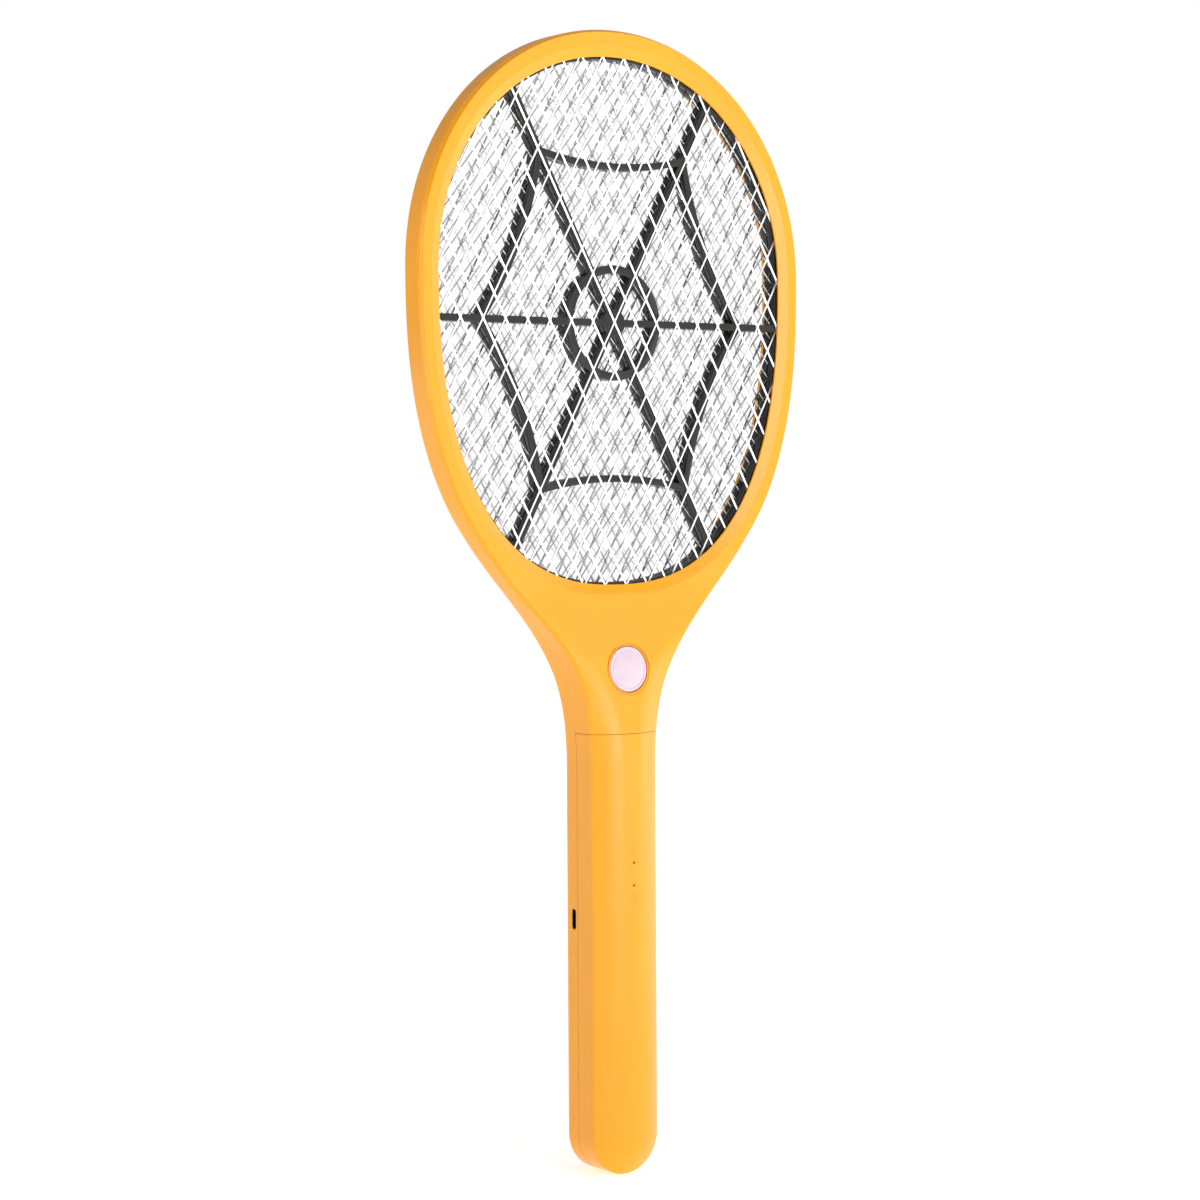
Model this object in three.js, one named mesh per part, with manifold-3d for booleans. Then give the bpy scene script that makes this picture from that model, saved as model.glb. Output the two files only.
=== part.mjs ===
// Rechargeable electric fly swatter: an egg-shaped head with three metal meshes held
// apart by two web-shaped spacers, a flared neck with a round push button, and a
// straight handle with the battery, the circuit board and a charging socket.
// Millimetres. X runs across the head, Y from the front face to the back, Z up along
// the handle. Inside the racket group, heights are measured from the handle's end.

import * as THREE from 'three';
import { ParametricGeometry } from 'three/addons/geometries/ParametricGeometry.js';
import { mergeVertices } from 'three/addons/utils/BufferGeometryUtils.js';
import Module from 'manifold-3d';

const wasm = await Module();
wasm.setup();

// ---- driving dimensions ----------------------------------------------------------

// The grip's middle is the origin of the part.
const GRIP_HEIGHT = 95;
const GRIP_DEPTH = 2.85;

// Egg outlines: half width, reach above and below the centre, roundness of each half.
const EGG_CENTRE = 394.4;
const OPENING = { half: 91.9, up: 93.8, down: 135.2 };
const RIM = { half: 102.1, up: 105.4, down: 146 };
const TOP_ROUNDNESS = 2.04;
const BOTTOM_ROUNDNESS = 2.43;

// Straight sides that stand for each egg outline.
const EGG_SIDES = 44;

// Handle and neck outline.
const HANDLE_HALF = 17.5;
const NECK_LEAVES_EGG_AT = 0.786;
const NECK_PULL_TOP = 59;
const NECK_PULL_BOTTOM = 58.6;
const NECK_BOTTOM = 179.4;
const NECK_TOP = 300;

// Depths (Y). The head is thin; the handle is deeper to both sides.
const HEAD_EDGE = -0.3;
const HEAD_CROWN = 1.5;
const HEAD_BACK = 12;
const HANDLE_EDGE = -4;
const HANDLE_CROWN = 7;
const HANDLE_BACK = 16.7;
const BACK_ROUNDING = 3;
const BACK_BEVEL = 0.9;
const WALL = 2;
const LIP_BACK = 0.9;
const REAR_LIP_FRONT = 9.3;

// Shares of the ring's width: top of the outer step, start of the bevel to the opening.
const STEP_TOP = 0.08;
const BEVEL_START = 0.57;

// Parting planes of the three mouldings and the gap left along them.
const HEAD_PARTING = 9;
const HANDLE_PARTING = 7;
const PARTING_STEP_HEIGHT = 246;
const COVER_SEAM = 194.5;
const HOLLOW_TOP = 253;
const SEAM_GAP = 0.2;

// Mesh and spacer stack (Y of each front face, and thickness).
const MESH_THICKNESS = 0.4;
const OUTER_CELL = { width: 13, height: 23.6, strand: 0.8 };
const CENTRE_CELL = { width: 30.6, height: 46, strand: 0.6 };
const MESH_TAB = { width: 6, height: 8, offset: 12 };
const FRONT_MESH = 1;
const FRONT_SPACER = 1.5;
const FRONT_SPACER_DEPTH = 2.6;
const CENTRE_MESH = 4.2;
const REAR_SPACER = 4.7;
const REAR_SPACER_DEPTH = 3.9;
const REAR_MESH = 8.7;
const STACK_GRIP = 3.2;
const STACK_SHOWS = 1;

// Web.
const WEB_CENTRE = 373.3;
const RIB = 3;
const HUB_RADIUS = 25.1;
const HUB_BAND = 3.5;
const BOSS_RADIUS = 6;
const SIDE_NODE = new THREE.Vector2(69.7, 0);
const CORNER_NODE = new THREE.Vector2(38.8, 72.4);
const ARC_SAG = 4.6;

// Button, indicators and charging socket.
const BUTTON_HEIGHT = 222.5;
const BUTTON_RADIUS = 9.9;
const BUTTON_GAP = 0.35;
const BUTTON_FLANGE = 11.3;
const FLANGE_FRONT = -4.4;
const BUTTON_FACE = -7.3;
const BUTTON_GROOVE = 11.2;
const BUTTON_STEM = { radius: 2, back: -2.6, ceiling: -5.4 };
const SWITCH = { size: 7, depth: 6.4, bore: 1.9, bottom: 4.9 };
const PLUNGER = { radius: 1.6, length: 5.3, middle: 0.35 };
const PINHOLE_RADIUS = 0.6;
const LED_HEIGHTS = { led_charge: 138.1, led_power: 128.2 };
const SOCKET_HEIGHT = 112.6;
const SOCKET_DEPTH = 9.8;
const SOCKET_SLOT = { length: 9.3, width: 3.3 };
const SOCKET_SHELL = { length: 8.9, width: 3.2, wall: 0.3, mouth: -15.4, end: -8 };
const SOCKET_TONGUE = { length: 4.4, thickness: 0.7, width: 6.6, middle: -11.3 };

// Circuit board and battery.
const BOARD_FRONT = 6.5;
const BOARD_THICKNESS = 1.6;
const BOARD_WIDTH = 26;
const BOARD_BOTTOM = 98;
const BOARD_TOP = 233;
const CELL_RADIUS = 9.2;
const CELL_BOTTOM = 20;
const CELL_LENGTH = 65;
const CELL_AXIS = 3;
const WIRE = 1.5;

// Heights of what stands on the board.
const TRANSFORMER_HEIGHT = 164;
const STORAGE_HEIGHT = 190;
const DOUBLER_HEIGHT = 213;
const DIODE_HEIGHT = 201.5;
const DIODE_PITCH = 3.6;
const TRANSISTOR_HEIGHT = 148;
const RESISTOR_HEIGHT = 146;

// Fixings.
const RING_SCREWS = 8;
const RING_SCREW_INSET = 0.42;
const RING_BOSS = { radius: 2.2, bore: 1.15, front: 0.5 };
const NECK_BOSS = { radius: 3, bore: 1.45, front: -5 };
const HANDLE_BOSS = { radius: 3, bore: 1.45, front: -9 };
const RING_RECESS = { clearance: 1.3, radius: 2.35, depth: 1.3 };
const LONG_RECESS = { clearance: 1.6, radius: 3, depth: 2.2, post: 3.6 };
const BOARD_POST = { radius: 2.8, bore: 1.15 };
const NECK_SCREWS = [new THREE.Vector2(-19, 233), new THREE.Vector2(19, 233)];
const HANDLE_SCREWS = [new THREE.Vector2(0, 11), new THREE.Vector2(0, 92.5)];
const BOARD_SCREWS = [new THREE.Vector2(-9.5, 122), new THREE.Vector2(9.5, 205)];

// ---- materials -------------------------------------------------------------------

function finish(color, roughness, metalness) {
  return () => new THREE.MeshStandardMaterial({ color, roughness, metalness });
}

const yellowPlastic = finish(0xfdb02e, 0.42, 0);
const blackPlastic = finish(0x2b2a28, 0.35, 0);
const buttonPlastic = finish(0xf0dde4, 0.3, 0);
const brightSteel = finish(0xd9dadb, 0.32, 1);
const screwSteel = finish(0x9a9da0, 0.35, 1);
const boardLaminate = finish(0x1f5c34, 0.5, 0);
const copper = finish(0xb0622f, 0.4, 1);
const ferrite = finish(0x3a3b3d, 0.6, 0);
const ledLens = finish(0xdfe8dc, 0.2, 0);
const cellWrap = finish(0x2f6fb5, 0.45, 0);
const redInsulation = finish(0xb3261e, 0.5, 0);
const blackInsulation = finish(0x202020, 0.5, 0);
const capacitorPlastic = finish(0x8c4a20, 0.5, 0);
const discCeramic = finish(0x2d5aa0, 0.5, 0);
const componentBlack = finish(0x1c1c1d, 0.5, 0);
const resistorBody = finish(0xc9a678, 0.6, 0);

// ---- solids ----------------------------------------------------------------------

function toSolid(geometry) {
  const bare = geometry.clone();
  bare.deleteAttribute('normal');
  bare.deleteAttribute('uv');
  const merged = mergeVertices(bare, 1e-4);
  const index = merged.index.array;
  const kept = [];
  for (let i = 0; i < index.length; i += 3) {
    const [a, b, c] = [index[i], index[i + 1], index[i + 2]];
    if (a !== b && b !== c && c !== a) kept.push(a, b, c);
  }
  return new wasm.Manifold(new wasm.Mesh({
    numProp: 3,
    vertProperties: new Float32Array(merged.attributes.position.array),
    triVerts: new Uint32Array(kept),
  }));
}

function toGeometry(solid) {
  const mesh = solid.getMesh();
  const geometry = new THREE.BufferGeometry();
  geometry.setAttribute('position', new THREE.BufferAttribute(mesh.vertProperties, 3));
  geometry.setIndex(new THREE.BufferAttribute(mesh.triVerts, 1));
  geometry.computeVertexNormals();
  return geometry;
}

function joined(solids) {
  return solids.reduce((sum, solid) => sum.add(solid));
}

function smooth(value, from, to) {
  return THREE.MathUtils.smoothstep(value, from, to);
}

function box(width, depth, height, x, y, z) {
  return toSolid(new THREE.BoxGeometry(width, depth, height).translate(x, y, z));
}

// A cylinder lying along Y, from one depth to another.
function pin(radius, x, z, fromY, toY, sides = 8) {
  const geometry = new THREE.CylinderGeometry(radius, radius, toY - fromY, sides);
  return toSolid(geometry.translate(x, (fromY + toY) / 2, z));
}

// A flat outline drawn in X and height, made into a plate between two depths.
function plate(shapes, fromY, toY) {
  const geometry = new THREE.ExtrudeGeometry(shapes, {
    depth: toY - fromY,
    bevelEnabled: false,
    curveSegments: 8,
  });
  return toSolid(geometry.rotateX(Math.PI / 2).translate(0, toY, 0));
}

// ---- outlines --------------------------------------------------------------------

function eggPoint(egg, angle, grow = 0) {
  const across = Math.cos(angle);
  const along = Math.sin(angle);
  const roundness = along >= 0 ? TOP_ROUNDNESS : BOTTOM_ROUNDNESS;
  const reach = along >= 0 ? egg.up : egg.down;
  return new THREE.Vector2(
    Math.sign(across) * (egg.half + grow) * Math.abs(across) ** (2 / roundness),
    EGG_CENTRE + Math.sign(along) * (reach + grow) * Math.abs(along) ** (2 / roundness),
  );
}

function eggPoints(egg, grow, count) {
  const points = [];
  for (let i = 0; i < count; i += 1) points.push(eggPoint(egg, (2 * Math.PI * i) / count, grow));
  return points;
}

function eggPlate(egg, grow, fromY, toY, count = EGG_SIDES) {
  return plate(new THREE.Shape(eggPoints(egg, grow, count)), fromY, toY);
}

// The right-hand side of the neck runs from the egg down into the straight handle.
function neckCurve() {
  const leave = eggPoint(RIM, -NECK_LEAVES_EGG_AT);
  const next = eggPoint(RIM, -NECK_LEAVES_EGG_AT - 0.001);
  const heading = next.clone().sub(leave).normalize();
  return new THREE.CubicBezierCurve(
    leave,
    leave.clone().addScaledVector(heading, NECK_PULL_TOP),
    new THREE.Vector2(HANDLE_HALF, NECK_BOTTOM + NECK_PULL_BOTTOM),
    new THREE.Vector2(HANDLE_HALF, NECK_BOTTOM),
  );
}

const NECK_SAMPLES = neckCurve().getPoints(60);

function halfWidth(height) {
  if (height < HANDLE_HALF) {
    return Math.sqrt(Math.max(0, HANDLE_HALF ** 2 - (HANDLE_HALF - height) ** 2));
  }
  if (height <= NECK_BOTTOM) return HANDLE_HALF;
  const leave = NECK_SAMPLES[0];
  if (height >= leave.y) {
    const drop = (EGG_CENTRE - height) / RIM.down;
    return RIM.half * (1 - drop ** BOTTOM_ROUNDNESS) ** (1 / BOTTOM_ROUNDNESS);
  }
  const i = NECK_SAMPLES.findIndex((point) => point.y <= height);
  const above = NECK_SAMPLES[i - 1];
  const below = NECK_SAMPLES[i];
  return THREE.MathUtils.mapLinear(height, below.y, above.y, below.x, above.x);
}

// How far a height has passed from the thin head (0) to the deep handle (1).
function handleShare(height) {
  return 1 - smooth(height, 224, 260);
}

function edgeDepth(height) {
  return THREE.MathUtils.lerp(HEAD_EDGE, HANDLE_EDGE, handleShare(height));
}

function backDepth(height) {
  return THREE.MathUtils.lerp(HEAD_BACK, HANDLE_BACK, handleShare(height));
}

function crownRise(height) {
  const share = 1 - smooth(height, 182, 258);
  const atNeck = THREE.MathUtils.lerp(HEAD_CROWN, HANDLE_CROWN, share);
  // The crown runs out over the rounded end of the handle.
  return atNeck * Math.sqrt(smooth(height, -4, HANDLE_HALF));
}

function crownFlatness(height) {
  return 2 + 8 * smooth(height, 205, 262);
}

// ---- the housing as one solid, and the hollow inside it --------------------------

// One level section of neck and handle: the crown, then the side, the back, the side.
function levelSection(height, inset) {
  const half = Math.max(halfWidth(height) - inset, 0);
  const edge = edgeDepth(height) + inset;
  const back = backDepth(height) - inset;
  const rise = crownRise(height);
  const rounding = Math.min(BACK_ROUNDING - inset / 2, half);
  const points = [];
  for (let i = 0; i <= 8; i += 1) {
    const across = -Math.cos((Math.PI * i) / 8);
    const crown = rise * (1 - Math.abs(across) ** crownFlatness(height));
    points.push([half * across, edge - crown]);
  }
  for (const side of [1, -1]) {
    const round = [];
    for (let i = 0; i <= 2; i += 1) {
      const turn = (Math.PI * i) / 4;
      const x = half - rounding * (1 - Math.cos(turn));
      const y = back - rounding * (1 - Math.sin(turn));
      round.push([side * x, y]);
    }
    points.push(...(side > 0 ? round : round.reverse()));
  }
  return points;
}

// Heights of the sections: close together around the end, then along the neck.
function sectionHeights(bottom, top) {
  const heights = [];
  for (let i = 0; i <= 6; i += 1) {
    const turn = (Math.PI * i) / 12;
    heights.push(bottom + (HANDLE_HALF - bottom) * (1 - Math.cos(turn)));
  }
  heights.push(NECK_BOTTOM);
  const steps = 13;
  for (let i = 1; i <= steps; i += 1) {
    heights.push(THREE.MathUtils.lerp(NECK_BOTTOM, top, i / steps));
  }
  return heights;
}

function neckAndHandle(inset, top) {
  const heights = sectionHeights(inset, top);
  const rows = heights.length;
  const sides = levelSection(heights[0], inset).length;
  const middle = (HANDLE_BACK + HANDLE_EDGE) / 2;
  const surface = (u, v, target) => {
    const column = Math.round(u * sides) % sides;
    const row = Math.round(v * rows);
    if (row === rows) {
      target.set(0, middle, top);
      return;
    }
    const [x, y] = levelSection(heights[row], inset)[column];
    target.set(row === 0 ? 0 : x, y, heights[row]);
  };
  return toSolid(new ParametricGeometry(surface, sides, rows));
}

// A closed section swept around the head. Its points are [share, depth], where the
// share runs from 0 at the rim's outline to 1 at the edge of the opening.
function headRing(section, count = EGG_SIDES) {
  const surface = (u, v, target) => {
    const angle = 2 * Math.PI * (Math.round(u * count) % count) / count;
    const [share, depth] = section[Math.round(v * section.length) % section.length];
    const outer = eggPoint(RIM, angle);
    const point = outer.lerp(eggPoint(OPENING, angle), share);
    target.set(point.x, depth, point.y);
  };
  return toSolid(new ParametricGeometry(surface, count, section.length));
}

function housingSolid() {
  const crown = HEAD_EDGE - HEAD_CROWN;
  const ring = headRing([
    [0, HEAD_BACK - BACK_ROUNDING],
    [0, HEAD_EDGE],
    [STEP_TOP, crown],
    [BEVEL_START, crown],
    [1, 0],
    [1, HEAD_BACK],
    [0.3, HEAD_BACK],
    [0.09, HEAD_BACK - BACK_BEVEL],
  ]);
  const body = neckAndHandle(0, NECK_TOP);
  const opening = eggPlate(OPENING, 0, -30, 40);
  return body.subtract(opening).add(ring);
}

function hollowSolid() {
  const outerWall = WALL / (RIM.half - OPENING.half);
  const intoOpening = 1.3;
  const channel = headRing([
    [outerWall, REAR_LIP_FRONT],
    [outerWall, LIP_BACK],
    [intoOpening, LIP_BACK],
    [intoOpening, REAR_LIP_FRONT],
  ]);
  return channel.add(neckAndHandle(WALL, HOLLOW_TOP));
}

// ---- screws and their bosses -----------------------------------------------------

const SELF_TAPPER = { head: 2.1, shank: 0.9, headHeight: 1.3 };
const LONG_SCREW = { head: 2.6, shank: 1.2, headHeight: 1.6 };

function ringScrewPlaces() {
  const places = [];
  for (let i = 0; i < RING_SCREWS; i += 1) {
    const angle = (2 * Math.PI * (i + 0.5)) / RING_SCREWS;
    places.push(eggPoint(RIM, angle).lerp(eggPoint(OPENING, angle), RING_SCREW_INSET));
  }
  return places;
}

// A pan-head screw standing on the origin with its tip towards -Y.
function screwGeometry(kind, length) {
  const profile = [
    new THREE.Vector2(0, -length),
    new THREE.Vector2(kind.shank, -length + 2),
    new THREE.Vector2(kind.shank, 0),
    new THREE.Vector2(kind.head, 0),
    new THREE.Vector2(kind.head * 0.5, kind.headHeight),
    new THREE.Vector2(0, kind.headHeight * 0.45),
  ];
  return new THREE.LatheGeometry(profile, 8);
}

// Bosses that stand on the inside of the front mouldings and take the screws' tips.
function boss(place, size, toY) {
  const floor = 1.5;
  const post = pin(size.radius, place.x, place.y, size.front, toY);
  return post.subtract(pin(size.bore, place.x, place.y, size.front + floor, toY + 1));
}

// ---- mouldings -------------------------------------------------------------------

// A slab wider than the object, from one depth and height to another.
function slab(fromY, toY, bottom, top) {
  return box(300, toY - fromY, top - bottom, 0, (fromY + toY) / 2, (bottom + top) / 2);
}

const FAR_FRONT = -40;
const FAR_BACK = 60;
const ABOVE_ALL = 520;
const BELOW_ALL = -20;

function frontZone(bottom, top) {
  const deep = slab(FAR_FRONT, HANDLE_PARTING - SEAM_GAP, bottom, top);
  if (top <= PARTING_STEP_HEIGHT) return deep;
  return deep.add(slab(FAR_FRONT, HEAD_PARTING - SEAM_GAP, PARTING_STEP_HEIGHT, top));
}

function rearZone() {
  const low = slab(HANDLE_PARTING, FAR_BACK, BELOW_ALL, PARTING_STEP_HEIGHT);
  return low.add(slab(HEAD_PARTING, FAR_BACK, PARTING_STEP_HEIGHT, ABOVE_ALL));
}

function frontFrame(housing, hollow) {
  let solid = housing.intersect(frontZone(COVER_SEAM + SEAM_GAP / 2, ABOVE_ALL)).subtract(hollow);
  for (const place of ringScrewPlaces()) {
    solid = solid.add(boss(place, RING_BOSS, HEAD_PARTING - SEAM_GAP));
  }
  for (const place of NECK_SCREWS) {
    solid = solid.add(boss(place, NECK_BOSS, HANDLE_PARTING - SEAM_GAP));
  }
  const well = pin(BUTTON_RADIUS + BUTTON_GAP, 0, BUTTON_HEIGHT, -20, 0, 24);
  const groove = pin(BUTTON_GROOVE, 0, BUTTON_HEIGHT, -20, BUTTON_FACE + 0.5, 24);
  const pocket = pin(BUTTON_FLANGE + 0.5, 0, BUTTON_HEIGHT, FLANGE_FRONT - 0.2, 0, 24);
  return solid.subtract(well).subtract(groove).subtract(pocket);
}

function handleCover(housing, hollow) {
  let solid = housing.intersect(frontZone(BELOW_ALL, COVER_SEAM - SEAM_GAP / 2)).subtract(hollow);
  for (const place of HANDLE_SCREWS) {
    solid = solid.add(boss(place, HANDLE_BOSS, HANDLE_PARTING - SEAM_GAP));
  }
  for (const height of Object.values(LED_HEIGHTS)) {
    solid = solid.subtract(pin(PINHOLE_RADIUS, 0, height, -20, 0, 10));
  }
  return solid;
}

// The slot of the socket: a box with half-round ends, cut in through the side.
function slotShape(length, width) {
  const shape = new THREE.Shape();
  const straight = (length - width) / 2;
  shape.absarc(0, straight, width / 2, 0, Math.PI);
  shape.absarc(0, -straight, width / 2, Math.PI, 2 * Math.PI);
  return shape;
}

// An outline in Y and height, made into a bar that runs along X.
function crossBar(shape, fromX, toX) {
  const geometry = new THREE.ExtrudeGeometry(shape, {
    depth: toX - fromX,
    bevelEnabled: false,
    curveSegments: 6,
  });
  geometry.applyMatrix4(new THREE.Matrix4().makeBasis(
    new THREE.Vector3(0, 1, 0),
    new THREE.Vector3(0, 0, 1),
    new THREE.Vector3(1, 0, 0),
  ));
  return geometry.translate(fromX, SOCKET_DEPTH, SOCKET_HEIGHT);
}

function rearShell(housing, hollow) {
  let solid = housing.intersect(rearZone()).subtract(hollow);
  for (const place of [...NECK_SCREWS, ...HANDLE_SCREWS]) {
    const end = backDepth(place.y) - 1;
    solid = solid.add(pin(LONG_RECESS.post, place.x, place.y, HANDLE_PARTING + 0.1, end));
  }
  for (const place of BOARD_SCREWS) {
    const seat = BOARD_FRONT + BOARD_THICKNESS + 0.1;
    const post = pin(BOARD_POST.radius, place.x, place.y, seat, HANDLE_BACK - 1);
    solid = solid.add(post.subtract(pin(BOARD_POST.bore, place.x, place.y, 0, HANDLE_BACK - 4)));
  }
  for (const place of ringScrewPlaces()) {
    const floor = HEAD_BACK - RING_RECESS.depth;
    solid = solid.subtract(pin(RING_RECESS.clearance, place.x, place.y, 5, FAR_BACK));
    solid = solid.subtract(pin(RING_RECESS.radius, place.x, place.y, floor, FAR_BACK));
  }
  for (const place of [...NECK_SCREWS, ...HANDLE_SCREWS]) {
    const floor = backDepth(place.y) - LONG_RECESS.depth;
    solid = solid.subtract(pin(LONG_RECESS.clearance, place.x, place.y, 0, FAR_BACK));
    solid = solid.subtract(pin(LONG_RECESS.radius, place.x, place.y, floor, FAR_BACK));
  }
  const slot = slotShape(SOCKET_SLOT.length, SOCKET_SLOT.width);
  return solid.subtract(toSolid(crossBar(slot, -25, -12)));
}

// ---- meshes and spacers ----------------------------------------------------------

// Diamond openings of one mesh, in rows shifted by half a cell.
function diamonds(cell) {
  const shapes = [];
  const reach = RIM.down + cell.height;
  const rows = Math.ceil((2 * reach) / (cell.height / 2));
  const columns = Math.ceil(RIM.half / cell.width) + 1;
  const halfWide = cell.width / 2 - cell.strand;
  const halfTall = cell.height / 2 - cell.strand * 1.6;
  for (let row = 0; row < rows; row += 1) {
    const height = EGG_CENTRE - reach + (row * cell.height) / 2;
    for (let column = -columns; column <= columns; column += 1) {
      const x = (column + (row % 2) / 2) * cell.width;
      if (Math.hypot(x / RIM.half, (height - EGG_CENTRE) / RIM.down) > 1.1) continue;
      shapes.push(new THREE.Shape([
        new THREE.Vector2(x + halfWide, height),
        new THREE.Vector2(x, height + halfTall),
        new THREE.Vector2(x - halfWide, height),
        new THREE.Vector2(x, height - halfTall),
      ]));
    }
  }
  return shapes;
}

function meshSheet(front, cell, tabX) {
  const back = front + MESH_THICKNESS;
  const sheet = eggPlate(OPENING, STACK_GRIP - 0.2, front, back);
  const cutters = plate(diamonds(cell), front - 1, back + 1);
  const open = eggPlate(OPENING, -STACK_SHOWS, front - 2, back + 2);
  const tabMiddle = EGG_CENTRE - OPENING.down - STACK_GRIP;
  const middle = (front + back) / 2;
  const tab = box(MESH_TAB.width, MESH_THICKNESS, MESH_TAB.height, tabX, middle, tabMiddle);
  return sheet.subtract(cutters.intersect(open)).add(tab);
}

// A strip of even width along a row of points.
function strip(points, width) {
  const left = [];
  const right = [];
  points.forEach((point, i) => {
    const before = points[Math.max(i - 1, 0)];
    const after = points[Math.min(i + 1, points.length - 1)];
    const along = after.clone().sub(before).normalize();
    const across = new THREE.Vector2(-along.y, along.x).multiplyScalar(width / 2);
    left.push(point.clone().add(across));
    right.unshift(point.clone().sub(across));
  });
  return new THREE.Shape([...right, ...left]);
}

// An arc between two nodes of the web, bowed towards the hub.
function bowedArc(from, to) {
  const middle = from.clone().add(to).multiplyScalar(0.5);
  const inward = middle.clone().negate().normalize();
  const control = middle.addScaledVector(inward, 2 * ARC_SAG);
  return new THREE.QuadraticBezierCurve(from, control, to).getPoints(5);
}

function webNodes() {
  const { x, y } = CORNER_NODE;
  return [
    SIDE_NODE.clone(),
    new THREE.Vector2(x, y),
    new THREE.Vector2(-x, y),
    SIDE_NODE.clone().negate(),
    new THREE.Vector2(-x, -y),
    new THREE.Vector2(x, -y),
  ];
}

function disc(radius, fromY, toY, sides) {
  return pin(radius, 0, WEB_CENTRE, fromY, toY, sides);
}

function webSpacer(front, depth) {
  const back = front + depth;
  const placed = (shape) => plate(shape, front, back).translate([0, 0, WEB_CENTRE]);
  const nodes = webNodes();
  const ribs = nodes.map((node, i) => {
    const next = nodes[(i + 1) % nodes.length];
    const spoke = [new THREE.Vector2(0, 0), node.clone().multiplyScalar(1.9)];
    return placed(strip(spoke, RIB)).add(placed(strip(bowedArc(node, next), RIB)));
  });
  const hub = disc(HUB_RADIUS, front, back, 24).subtract(disc(HUB_RADIUS - HUB_BAND, -5, 20, 24));
  const inside = eggPlate(OPENING, 1, front, back);
  const web = joined([...ribs, hub, disc(BOSS_RADIUS, front, back, 12)]).intersect(inside);
  const rim = eggPlate(OPENING, STACK_GRIP, front, back);
  return rim.subtract(eggPlate(OPENING, -STACK_SHOWS, -5, 20)).add(web);
}

// ---- button and switch -----------------------------------------------------------

function lathedAlongY(profile, segments) {
  const points = profile.map(([radius, depth]) => new THREE.Vector2(radius, depth));
  return new THREE.LatheGeometry(points, segments);
}

// A domed cap with a skirt, a retaining flange and a stem that meets the switch.
function buttonCap() {
  const geometry = lathedAlongY([
    [0, BUTTON_FACE - 0.7],
    [5, BUTTON_FACE - 0.5],
    [7.8, BUTTON_FACE],
    [BUTTON_RADIUS - 0.4, BUTTON_FACE + 0.1],
    [BUTTON_RADIUS, BUTTON_FACE + 0.5],
    [BUTTON_RADIUS, FLANGE_FRONT],
    [BUTTON_FLANGE, FLANGE_FRONT],
    [BUTTON_FLANGE, FLANGE_FRONT + 0.7],
    [BUTTON_RADIUS - 1.4, FLANGE_FRONT + 0.7],
    [BUTTON_RADIUS - 1.4, BUTTON_STEM.ceiling],
    [BUTTON_STEM.radius, BUTTON_STEM.ceiling],
    [BUTTON_STEM.radius, BUTTON_STEM.back],
    [0, BUTTON_STEM.back],
  ], 20);
  return geometry.translate(0, 0, BUTTON_HEIGHT);
}

function switchBody() {
  const back = BOARD_FRONT - 0.1;
  const middle = back - SWITCH.depth / 2;
  const body = box(SWITCH.size, SWITCH.depth, SWITCH.size, 0, middle, BUTTON_HEIGHT);
  return body.subtract(pin(SWITCH.bore, 0, BUTTON_HEIGHT, -1, SWITCH.bottom));
}

function switchPlunger() {
  const { radius, length, middle } = PLUNGER;
  const geometry = new THREE.CylinderGeometry(radius, radius, length, 14);
  return geometry.translate(0, middle, BUTTON_HEIGHT);
}

// ---- electronics -----------------------------------------------------------------

function mainBoard() {
  const middle = (BOARD_BOTTOM + BOARD_TOP) / 2;
  const depth = BOARD_FRONT + BOARD_THICKNESS / 2;
  let board = box(BOARD_WIDTH, BOARD_THICKNESS, BOARD_TOP - BOARD_BOTTOM, 0, depth, middle);
  for (const place of BOARD_SCREWS) {
    board = board.subtract(pin(1.4, place.x, place.y, 0, 12));
  }
  return board;
}

function usbShell() {
  const { length, width, wall, mouth, end } = SOCKET_SHELL;
  const outer = toSolid(crossBar(slotShape(length, width), mouth, end));
  const bore = slotShape(length - 2 * wall, width - 2 * wall);
  return outer.subtract(toSolid(crossBar(bore, mouth - 5, end - 2 * wall)));
}

function usbTongue() {
  const { length, thickness, width, middle } = SOCKET_TONGUE;
  const geometry = new THREE.BoxGeometry(length, thickness, width);
  return geometry.translate(middle, SOCKET_DEPTH, SOCKET_HEIGHT);
}

function ledSolid(height) {
  const lens = toSolid(lathedAlongY([
    [0, -8.7],
    [1, -8.4],
    [1.5, -7.6],
    [1.5, -5.1],
    [1.75, -5],
    [1.75, -4.4],
    [0, -4.4],
  ], 12).translate(0, 0, height));
  const legs = [-0.64, 0.64].map((x) => box(0.5, 10.9, 0.5, x, 0.85, height));
  return joined([lens, ...legs]);
}

function transformerCore() {
  const core = box(20, 5, 17, 0, 0, TRANSFORMER_HEIGHT);
  const windows = [-5, 5].map((x) => box(5, 8, 11, x, 0, TRANSFORMER_HEIGHT));
  return core.subtract(joined(windows));
}

function transformerWinding() {
  const outer = box(14.2, 11.6, 10.4, 0, 0, TRANSFORMER_HEIGHT);
  return outer.subtract(box(5.6, 5.6, 12, 0, 0, TRANSFORMER_HEIGHT));
}

function roundedBlock(width, depth, height, radius) {
  const shape = new THREE.Shape();
  const x = width / 2 - radius;
  const y = depth / 2 - radius;
  shape.absarc(x, y, radius, 0, Math.PI / 2);
  shape.absarc(-x, y, radius, Math.PI / 2, Math.PI);
  shape.absarc(-x, -y, radius, Math.PI, Math.PI * 1.5);
  shape.absarc(x, -y, radius, Math.PI * 1.5, Math.PI * 2);
  const geometry = new THREE.ExtrudeGeometry(shape, {
    depth: height,
    bevelEnabled: false,
    curveSegments: 4,
  });
  return geometry.translate(0, 0, -height / 2);
}

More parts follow.
